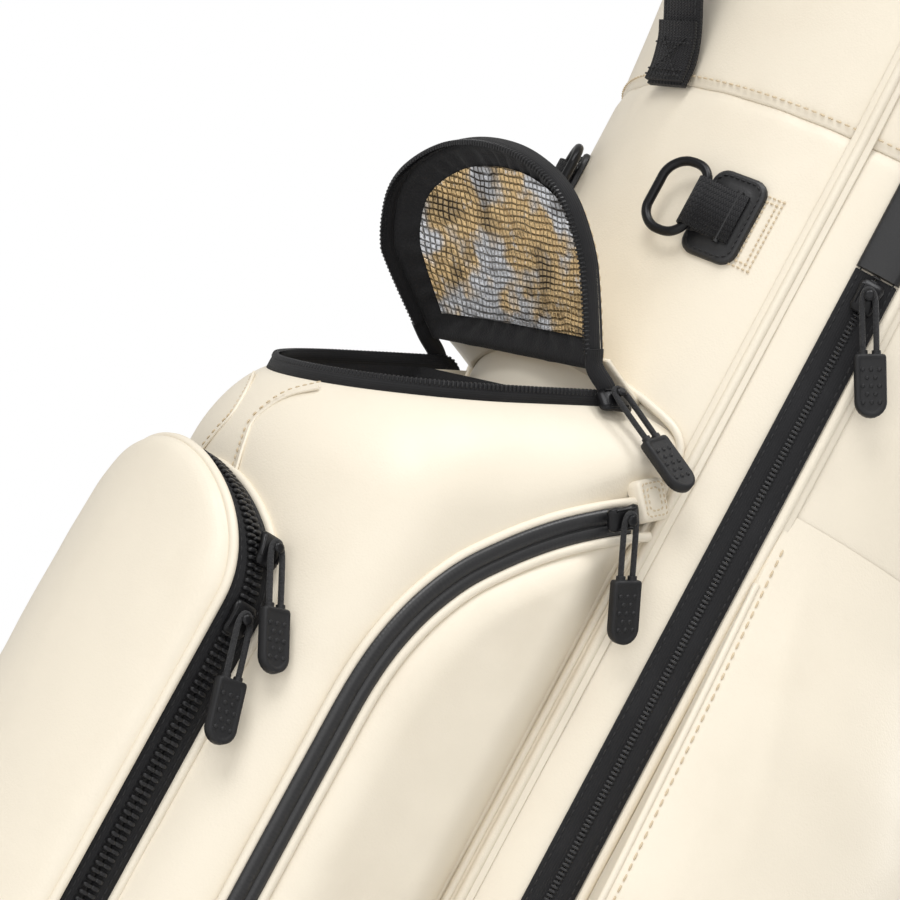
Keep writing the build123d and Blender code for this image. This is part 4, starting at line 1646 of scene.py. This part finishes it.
        foil = Shape("cooler_lid_foil")
        foil.pillow(self.outline(11.5), ((0.0, 0.0), (1.5, 0.3), (4.0, 1.0)), crumple, rings=26, flip=True)
        self.soft(foil.make(FOIL, "cooler_lid", "foil_lining", ["cooler_lid_liner"]))

    def lid_zip(self) -> None:
        """Half zip standing down from the lid's edge."""
        line = [(x, t) for x, t in self.edge(0.6) if t > 9]
        centre = self.put(0, 40, 0)
        away = lambda p: (p - centre) - self.over * (p - centre).dot(self.over)
        tape = Shape("cooler_lid_zip_tape")
        tape.strip([self.put(x, t, -2.2) for x, t in line], away,
                   [(-3.6, -1.0), (3.6, -1.0), (3.6, 0.6), (-3.6, 0.6)])
        self.soft(tape.make(TAPE, "cooler_lid", "zip_black", ["cooler_lid_zip"]))
        coil = Shape("cooler_lid_zip_coil")
        coil.blocks(evenly([self.put(x, t, -5.2) for x, t in line], 1.0), away, 1.7, (1.0, 2.4, 1.9),
                    lift=-1.1)
        self.soft(coil.make(TEETH, "cooler_lid", "zip_black"))

    def hinge_cloth(self) -> None:
        """Leather that curves between the barrel and the lid."""
        rows = []
        for t in range(13):
            f = t / 12
            row = []
            for k in range(33):
                x = -62 + 124 * k / 32
                low = Vector((x, -math.sqrt((BODY_R + 0.2) ** 2 - x * x) - 0.3, 590 - 0.0016 * x * x))
                high = self.put(x, 5.0, 3.4)
                mid = Vector((x, -119.5 - 2 * (abs(x) < 40), 590))
                row.append(low * (1 - f) ** 2 + mid * (2 * f * (1 - f)) + high * f * f)
            rows.append(row)
        shape = Shape("cooler_hinge_leather")
        shape.grid(rows)
        piece = shape.make(CREAM, "", "cream_leather", thick=1.4)
        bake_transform(piece)

    def zip_bend(self) -> None:
        """Zip tape that bends from the mouth at each end up onto the lid's edge."""
        shape = Shape("cooler_zip_bend_tape")
        for side in (1, -1):
            foot = Vector((side * 63.6, -112.0, 576.5))
            knee = Vector((side * 64.2, -117.5, 581.8))
            path = evenly(spline((foot, knee, self.put(side * 62.2, 4, -2.4),
                                  self.put(side * 62.6, 11, -2.2)), 8), 1.5)
            shape.strip(path, lambda p, side=side: Vector((side, 0, 0)),
                        [(-3.5, -0.9), (3.5, -0.9), (3.5, 0.5), (-3.5, 0.5)])
        piece = shape.make(TAPE, "", "zip_black")
        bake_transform(piece)


# ------------------------------------------------------------------ ball pocket
@dataclass
class BallPocket:
    """Arched front panel, its piping and the chunky zip round it."""

    half: float = 61.0
    bottom: float = 158.0
    arch: float = 440.0
    rise: float = 48.0

    def outline(self) -> list[Point2]:
        """Perimeter from the bottom right up and over to the bottom left.

        Returns:
            The outline's points.
        """
        pitch = 4.0
        out = []
        z = self.bottom
        while z < self.arch:
            out.append((self.half, z))
            z += pitch
        for k in range(0, 61):
            a = math.pi * k / 60
            out.append((self.half * math.cos(a), self.arch + self.rise * math.sin(a)))
        z = self.arch - pitch
        while z > self.bottom:
            out.append((-self.half, z))
            z -= pitch
        out.append((-self.half, self.bottom))
        return out

    def ring(self) -> list[Point2]:
        """Perimeter closed along the bottom edge."""
        return [*self.outline(), *[(-self.half + 4 * k, self.bottom) for k in range(1, 30)]]

    @staticmethod
    def depth(x: float, r: float) -> float:
        """Depth of the crowned front at a crown radius."""
        return -101 - math.sqrt(r * r - x * x)

    def rail(self, r: float) -> list[Vector]:
        """Perimeter at one crown radius."""
        return [Vector((x, self.depth(x, r), z)) for x, z in self.outline()]

    def outward(self, p: Vector) -> Vector:
        """Direction out of the perimeter.

        Args:
            p: a point.

        Returns:
            The direction.
        """
        if p.z <= self.arch:
            return Vector((math.copysign(1, p.x), 0, 0))
        return Vector((p.x / self.half**2, 0, (p.z - self.arch) / self.rise**2)).normalized()

    def build(self) -> None:
        """Makes the panel, the lining, the piping and both zip halves."""
        self.panel()
        self.lining()
        self.piping()
        self.zip()

    def panel(self) -> None:
        """Pillowed leather front."""

        def put(x: float, z: float, h: float) -> Vector:
            """Point on the panel with its soft waves."""
            wave = 0.7 * ripple(Vector((x, 0, z)), 42, 8.0) + 0.25 * ripple(Vector((x, 0, z)), 15, 1.0)
            return Vector((x, self.depth(x, 131.2 + h + (wave if h > 3 else 0)), z))

        outline = self.ring()
        shape = Shape("ball_flap_leather")
        profile = ((0.0, 0.2), (0.0, 1.6), (0.6, 3.2), (2.2, 4.6), (5.0, 5.4), (9, 5.8))
        shape.pillow(outline, profile, put, crown=1.2, rings=22)
        shape.lid([put(x, z, 0.2) for x, z in outline])
        shape.make(CREAM, "ball_flap", "cream_leather", ["ball_flap"])

    def lining(self) -> None:
        """Black cloth inside of the pocket, shallow in the arch where the cooler stands behind it."""
        back_wall = -125.0
        middle = (self.bottom + self.arch + self.rise) / 2
        tall = middle - self.bottom
        rows = []
        for inset, back, top in (
            (-0.3, 0.0, 500), (2.5, 0.0, 500), (2.7, 0.05, 500), (2.8, 0.08, 434), (3.0, 0.10, 432),
            (3.2, 0.25, 431),
            (3.4, 0.4, 431), (3.4, 0.55, 431), (3.4, 0.7, 431), (3.6, 0.85, 431), (5.0, 0.96, 430),
            (8.0, 1.0, 427),
        ):
            row = []
            for x, z in self.ring():
                front = self.depth(x, 114.5)
                deep = front + (back_wall - front) * back
                p = Vector((x * (1 - inset / self.half), deep,
                            min(middle + (z - middle) * (1 - inset / tall), top)))
                row.append(p + Vector((0.5, 0, 0.5)) * (ripple(p, 24, 3.0) * min(1.0, back * 6)))
            rows.append(row)
        shape = Shape("ball_pocket_lining_cloth")
        shape.grid(rows, round_rows=True)
        shape.lid(rows[-1])
        shape.make(LINING, "bag", "zip_black")

    def piping(self) -> None:
        """Piping beside both edges of the gusset."""
        front = Shape("ball_flap_piping")
        front.tube(evenly([p + self.outward(p) * 0.4 for p in self.rail(131.4)], 2.5), 1.9, 8, self.outward)
        front.make(CREAM, "ball_flap", "cream_leather")
        back = Shape("ball_pocket_piping")
        back.tube(evenly([p + self.outward(p) * 0.6 for p in self.rail(113.4)], 2.5), 1.9, 8, self.outward)
        back.make(CREAM, "bag", "cream_leather")

    def zip(self) -> None:
        """Tapes and moulded teeth of the two halves."""
        for name, body, r_edge, r_mid, side in (
            ("inner", "bag", 114.2, 122.1, -1),
            ("outer", "ball_flap", 130.4, 122.7, 1),
        ):
            edge, middle = self.rail(r_edge), self.rail(r_mid)
            tape = Shape(f"ball_zip_{name}_tape")
            tape.grid([
                [e - self.outward(e) * 1.4, e + self.outward(e) * 0.2, m + self.outward(m) * 0.2,
                 m - self.outward(m) * 1.4]
                for e, m in zip(edge, middle)
            ], round_rows=True)
            tape.make(TAPE, body, "zip_black", [f"ball_zip_{name}"])
            teeth = Shape(f"ball_zip_{name}_teeth")
            line = evenly(self.rail(r_mid + side * 1.1), 1.0)
            teeth.blocks(line, self.outward, 2.9, (1.7, 3.9, 1.7), lift=0.1)
            teeth.make(TEETH, body, "zip_black")
            thread = Shape(f"ball_zip_{name}_stitches")
            seam = evenly(self.rail(r_edge - side * 2.6), 2.0)
            thread.stitches(seam, self.outward, pitch=3.6, length=2.6, radius=0.33, lift=0.3)
            thread.make(BLACK_THREAD, body, "zip_black")


# ------------------------------------------------------------------ accessory pockets
@dataclass
class AccessoryPocket:
    """Side pocket on the stack: bulged panel, coated zip over its mouth and front, end tab."""

    side: int

    def put(self, y: float, z: float, h: float) -> Vector:
        """Point on the stack's side wall."""
        return Vector((self.side * (86.4 + h), y, z))

    def track(self, inset: float, rise: float = 1.0) -> list[Vector]:
        """Line of the zip, from its rear end down the front edge.

        Args:
            inset: distance in from the edge.
            rise: distance off the wall.

        Returns:
            The points.
        """
        pts = ((-94, 549.5), (-111, 537.5), (-127, 524), (-142, 508), (-155, 490.5), (-165, 468),
               (-170.2, 442), (-171, 405), (-171, 340), (-171, 280), (-171, 222))
        flat = evenly(spline([(0, y, z) for y, z in pts], 8), 2.0)
        moved = [p + Vector((0, -way.z, way.y)) * inset for p, way in zip(flat, headings(flat))]
        return [self.put(q.y, q.z, rise) for q in moved]

    def build(self) -> None:
        """Makes one accessory pocket."""
        name = hand(self.side)
        self.zip(name)
        self.panel(name)
        self.end_tab(name)

    def zip(self, name: str) -> None:
        """Coated tape with its closed seam, and the piping on both sides.

        Args:
            name: right or left, for the names of pieces.
        """
        out = lambda p: Vector((self.side, 0, 0))
        tape = Shape(f"accessory_zip_{name}_tape")
        line = [p for p in self.track(5.4, 1.0) if p.y < -96]
        tape.strip(line, out, [(-5.6, -1.6), (5.6, -1.6), (5.6, 1.4), (4.4, 2.5), (0.6, 3.2), (0.3, 2.4),
                               (-0.3, 2.4), (-0.6, 3.2), (-4.4, 2.5), (-5.6, 1.4)])
        tape.make(COATED, "bag", "zip_black", ["accessory_zips"] if self.side > 0 else [])
        piping = Shape(f"accessory_piping_{name}")
        piping.tube(evenly(self.track(-1.2, 0.6), 2.5), 1.8, 8, out)
        piping.tube(evenly(self.track(12.0, 3.2), 2.5), 1.9, 8, out)
        piping.make(CREAM, "bag", "cream_leather")

    def panel(self, name: str) -> None:
        """Bulged leather from the zip back to the barrel.

        Args:
            name: right or left, for the names of pieces.
        """
        rear = -87.5
        edge = [(p.y, p.z) for p in self.track(12.6) if p.y < rear - 2]
        columns = [k / 34 for k in range(35)]
        rows = []
        lowest = 197.0
        fronts = [*edge, *[(-158.4, z) for z in (216, 210, 205, 201, 198.5, lowest)]]
        for front, z in fronts:
            width = rear - front
            foot = min(1.0, (z - lowest) / 12) ** 0.5 if z > lowest else 0.0
            full = min(9.6, 2.4 + 0.16 * width) * foot
            row = [self.put(front, z, -1.5)]
            for u in columns:
                run = u * width
                rise = 1 - (1 - min(run / 15, 1)) ** 2
                fall = max(0.0, (run - width + 24) / 24) if width > 24 else u
                p = Vector((0, front + run, z))
                wave = (0.8 * ripple(p, 44, 2.2 * self.side) + 0.35 * ripple(p, 15, 3.0)) * min(1, run / 10)
                pull_gap = 1.6 * math.exp(-(((p.y + 86) / 16) ** 2) - ((z - 512) / 26) ** 2)
                h = (2.4 + (full - 2.4) * rise) * foot + (wave - pull_gap) * rise * foot
                row.append(self.put(p.y, z, h - (h + 7.4) * fall**2.1))
            rows.append(row)
        shape = Shape(f"accessory_pocket_{name}_leather")
        shape.grid(rows, flip=self.side > 0)
        shape.make(CREAM, "bag", "cream_leather", [f"accessory_pocket_{name}"])

    def end_tab(self, name: str) -> None:
        """Stitched leather tabs over both ends of the zip.

        Args:
            name: right or left, for the names of pieces.
        """
        end = Shape(f"accessory_garage_{name}_leather")
        tack = Shape(f"accessory_garage_stitches_{name}")
        for out, along, centre in (
            (Vector((0.93 * self.side, 0.05, 0.36)), Vector((0, 0.79, 0.61)),
             Vector((self.side * 86.2, -92.5, 551.5))),
            (Vector((self.side, 0, 0)), UP, Vector((self.side * 87.7, -165.6, 220.0))),
        ):
            out = out.normalized()
            along = squared(along, out)
            across = out.cross(along)

            def place(a: float, b: float, h: float) -> Vector:
                """Point on this tab."""
                return centre + along * a + across * b + out * h

            profile = ((0, -3), (0, 1.9), (0.6, 2.9), (1.6, 3.2), (2.4, 3.0))
            end.pillow(rounded_box(14, 16, 2.5), profile, place, crown=0.3, rings=3)
            for half in (5.2, 3.2):
                box = rounded_box(2 * half, 2 * half + 2, 1.2, 2)
                line = [place(a, b, 3.15) for a, b in [*box, box[0]]]
                tack.stitches(line, lambda p: out, pitch=2.2, length=1.5, radius=0.34, lift=0.1)
        end.make(CREAM, "bag", "cream_leather")
        tack.make(CREAM_THREAD, "bag", "cream_leather")


# ------------------------------------------------------------------ apparel pockets
@dataclass
class ApparelPocket:
    """Tall bulging side pocket with a gusset, piped edges and a pleated top."""

    side: int
    first: float = 66.0
    last: float = 150.0
    bottom: float = 112.0
    top: float = 573.0

    def theta(self, u: float) -> float:
        """Where it is round the barrel: u runs 0 to 1 from the front edge to the back edge."""
        return self.first + (self.last - self.first) * u

    def foot(self, u: float, z: float) -> Vector:
        """Where the gusset meets the barrel."""
        return on_barrel(self.side * self.theta(u), z, -0.4)

    def height(self, z: float) -> float:
        """How far the pocket stands off the barrel.

        Args:
            z: height.

        Returns:
            The distance.
        """
        knots = ((112, 20.0), (122, 25.0), (150, 30.5), (330, 31.0), (420, 25.5), (500, 13.5), (545, 4.4),
                 (572, 0.2))
        for (za, ha), (zb, hb) in zip(knots, knots[1:]):
            if z <= zb:
                t = (z - za) / (zb - za)
                return ha + (hb - ha) * t * t * (3 - 2 * t) if zb in (150, 420) else ha + (hb - ha) * t
        return 0.2

    def face(self, u: float, z: float) -> Vector:
        """Face of the pocket: u runs 0 to 1 from its front edge to its back edge.

        Args:
            u: 0 at the front edge, 1 at the back edge.
            z: height.

        Returns:
            The point.
        """
        theta = self.theta(u)
        edge = min(u, 1 - u)
        full = self.height(z)
        belly = full * (0.86 + 0.14 * min(1, edge / 0.10) ** 0.6)
        belly += 5.5 * math.sin(math.pi * u) ** 0.8 * min(1, full / 26)
        p = on_barrel(theta, z)
        wave = (1.3 * ripple(p, 60, 4.0) + 0.5 * ripple(p, 21, 9.0)) * min(1, edge / 0.06) * min(1, full / 12)
        fold = math.exp(-(((u - 0.08 - (566 - z) / 900) / 0.03) ** 2))
        pleat = fold * min(1, full / 8) * max(0, min(1, (z - 430) / 60))
        return on_barrel(self.side * theta, z, belly + wave + pleat)

    def build(self) -> None:
        """Makes one apparel pocket."""
        name = hand(self.side)
        heights = [self.bottom + (self.top - self.bottom) * k / 92 for k in range(93)]
        across = [k / 60 for k in range(61)]
        shape = Shape(f"apparel_pocket_{name}_leather")
        shape.grid([[self.face(u, z) for u in across] for z in heights], flip=self.side < 0)
        for u, over in ((0.0, False), (1.0, True)):
            rows = []
            for z in heights:
                foot, top = self.foot(u, z), self.face(u, z)
                inwards = around(foot).cross(UP) * self.side * (1 if over else -1)
                tuck = inwards * (0.8 * ripple(foot, 30, 5.0) + 1.2)
                rows.append([foot.lerp(top, t / 6) - tuck * math.sin(math.pi * t / 6) for t in range(7)])
            shape.grid(rows, flip=over != (self.side < 0))
        ends = [(self.foot(u, self.bottom), self.face(u, self.bottom)) for u in across]
        shape.grid([[foot.lerp(top, t / 5) for foot, top in ends] for t in range(6)], flip=self.side < 0)
        shape.make(CREAM, "bag", "cream_leather", [f"apparel_pocket_{name}"])
        piping = Shape(f"apparel_piping_{name}")
        thread = Shape(f"apparel_stitches_{name}")
        for u in (0.0, 1.0):
            line = [self.face(u, z) for z in heights[:-6]]
            piping.tube(evenly(line, 3), 1.5, 8, around)
            inner = [self.face(abs(u - 0.018), z) for z in heights[:-3]]
            thread.stitches(evenly(inner, 3), around, pitch=4.4, lift=0.4)
        piping.tube(evenly([self.face(u, self.bottom) for u in across], 3), 2.0, 8, around)
        thread.stitches(evenly([self.face(u, 118.5) for u in across[1:-1]], 3), around, pitch=4.4, lift=0.4)
        piping.make(CREAM, "bag", "cream_leather")
        thread.make(CREAM_THREAD, "bag", "cream_leather")


# ------------------------------------------------------------------ long zips
@dataclass
class LongZip:
    """Straight zip beside the apparel pocket, with the smooth cover strip above it."""

    side: int
    theta: float = 59.6

    def build(self) -> None:
        """Makes one long zip."""
        name = hand(self.side)
        line = [on_barrel(self.side * self.theta, z, 0.2) for z in range(112, 669, 3)]
        tape = Shape(f"long_zip_{name}_tape")
        for middle in (-4.45, 4.45):
            tape.strip(line, around, flat_section(8.5, 1.5, 0.1, middle))
        tape.make(TAPE, "bag", "zip_black", ["long_zips"] if self.side > 0 else [])
        coil = Shape(f"long_zip_{name}_coil")
        coil.blocks(line, around, 1.8, (1.1, 3.4, 0.7), lift=1.3)
        coil.make(TEETH, "bag", "zip_black")
        thread = Shape(f"long_zip_{name}_stitches")
        for middle in (-6.9, 6.9):
            thread.stitches(line, around, side=middle, pitch=3.6, length=2.6, radius=0.33, lift=1.7)
        thread.make(BLACK_THREAD, "bag", "zip_black")
        cover = Shape(f"zip_cover_{name}_leather")
        up = [on_barrel(self.side * self.theta, z, 0.0) for z in range(668, 843, 3)]
        crown = ((8.9, 0.2), (8.9, 1.6), (8.0, 2.6), (6.4, 2.9), (0, 3.3))
        cover.strip(up, around, [(-8.9, 0.2), *crown, *[(-a, n) for a, n in crown[-2:0:-1]]])
        cover.make(BLACK_LEATHER, "bag", "black_leather", ["zip_covers"] if self.side > 0 else [])


# ------------------------------------------------------------------ collar, strap, base
@dataclass
class Carrying:
    """Collar band, rear handle, shoulder strap and the moulded parts that keep their CAD shape."""

    def build(self) -> None:
        """Makes the carrying parts and dresses the moulded ones."""
        self.collar()
        self.handle()
        self.strap()
        dressed(["base_shell", "top_collar", "divider_grid", "floor_pad"], PLASTIC)
        dressed(["base_feet"], FOOT)
        dressed(["barrel_tube"], TUBE)
        dressed(["divider_sleeves"], SLEEVE)
        dressed(["spine_rods"], ROD)

    def collar(self) -> None:
        """Leather band round the collar, stitched along both edges."""
        middle = 857
        half = ((13, 131.3), (12.8, 133.6), (11, 134.6), (6, 135.3))
        rows = []
        for drop, r in (*half, (0, 135.5), *[(-drop, r) for drop, r in reversed(half)]):
            z = middle - drop
            row = []
            for k in range(240):
                out = outward(k * 1.5)
                puff = 0.35 * ripple(Vector((r * out.x, -r * out.y, z)), 18, 2.0)
                row.append(out * (r + puff) + UP * z)
            rows.append(row)
        band = Shape("collar_band_leather")
        band.grid(rows, round_rows=True)
        band.make(BLACK_LEATHER, "bag", "black_leather", ["collar_band"])
        thread = Shape("collar_stitches")
        for z in (847.5, 866.5):
            line = [outward(k * 1.5) * 134.9 + UP * z for k in range(241)]
            thread.stitches(line, around, pitch=4.4, lift=0.3)
        thread.make(CREAM_THREAD, "bag", "black_leather")

    def handle(self) -> None:
        """Moulded grip behind the collar."""
        half = ((-57, 121, 857), (-55, 143, 857), (-50, 160, 857), (-36, 170, 857), (0, 172, 857))
        path = evenly(spline(both_sides(half), 8), 3)
        shape = Shape("rear_handle_grip")
        rows = []
        total = len(path) - 1
        for k, (p, way) in enumerate(zip(path, headings(path))):
            side = way.cross(UP).normalized()
            grip = 1.0 if 0.25 < k / total < 0.75 else 0.86
            rows.append([p + side * (9 * grip * c) + UP * (7 * grip * s) for c, s in circle(16)])
        shape.grid(rows, round_rows=True)
        shape.lid(rows[0]).lid(rows[-1], flip=True)
        shape.make(PLASTIC, "bag", "black_plastic", ["rear_handle"])

    def strap(self) -> None:
        """Webbing, its end plates and the quilted shoulder pad."""
        back = lambda p: Vector((0, 1, 0))
        curve = ((119.8, 190), (120.4, 214), (138, 262), (161, 330), (173.5, 415), (175.6, 500), (173, 585),
                 (161, 668), (143, 722), (128.6, 768), (128.4, 810))
        path = evenly(spline([(0, y, z) for y, z in curve], 8), 4)
        web = Shape("strap_webbing_weave")
        web.strip(path, back, flat_section(38, 2.4, -1.2))
        web.make(WEBBING, "bag", "webbing_black", ["strap_webbing"])
        pad = Shape("strap_pad_quilt")
        outline = [(x, z + 500) for x, z in rounded_box(64, 280, 24, 8)]

        def put(x: float, z: float, h: float) -> Vector:
            """Point on the panel with its soft waves.

            Args:
                x: distance across.
                z: height.
                h: height off the surface.

            Returns:
                The point.
            """
            y = 178.0 - 14.5 * ((z - 500) / 140) ** 2
            channel = 1.2 * abs(math.sin((z - 500) * math.pi / 40)) ** 0.5
            return Vector((x, y + h * (0.7 + 0.3 * channel), z))

        outer = ((0.0, 0.0), (0.2, 1.8), (1.5, 3.4), (4.0, 4.4), (9.0, 5.0))
        inner = ((0.0, 0.0), (0.2, -1.2), (1.5, -2.4), (4.0, -3.2), (9.0, -3.6))
        pad.pillow(outline, outer, put, crown=1.0, rings=34)
        pad.pillow(outline, inner, put, crown=-0.6, rings=12, flip=True)
        piece = pad.make(BLACK_LEATHER, "bag", "black_leather", ["strap_pad"])
        plates = Shape("strap_plate_leather")
        thread = Shape("strap_plate_stitches")
        for y, z in ((121.3, 200), (130.0, 794)):
            outline = [(x, height + z) for x, height in rounded_box(50, 20, 5)]
            place = lambda x, height, h, y=y: Vector((x, y + h, height))
            plates.pillow(outline, ((0, 0), (0, 1.8), (0.7, 2.8), (2, 3.0), (3, 2.8)), place, crown=0.3,
                          rings=4, flip=True)
            box = [place(x, height + z, 3.0) for x, height in rounded_box(43, 13.5, 3)]
            thread.stitches([*box, box[0]], back, pitch=3.4, length=2.4, lift=0.2)
        plates.make(BLACK_LEATHER, "bag", "black_leather", ["strap_plates"])
        thread.make(CREAM_THREAD, "bag", "black_leather")


def main() -> None:
    """Builds the studio and the bag, piece by piece."""
    logging.basicConfig(level=logging.INFO, format="%(name)s %(message)s")
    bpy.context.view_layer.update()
    studio = Studio()
    studio.camera()
    studio.lights()
    studio.floor()
    build_pulls()
    Barrel().build()
    FrontHandle().build()
    for side in (1, -1):
        DRing(side).build()
    Stack().build()
    Cooler().build()
    BallPocket().build()
    for side in (1, -1):
        AccessoryPocket(side).build()
        ApparelPocket(side).build()
        LongZip(side).build()
    Carrying().build()


if __name__ == "__main__":
    main()
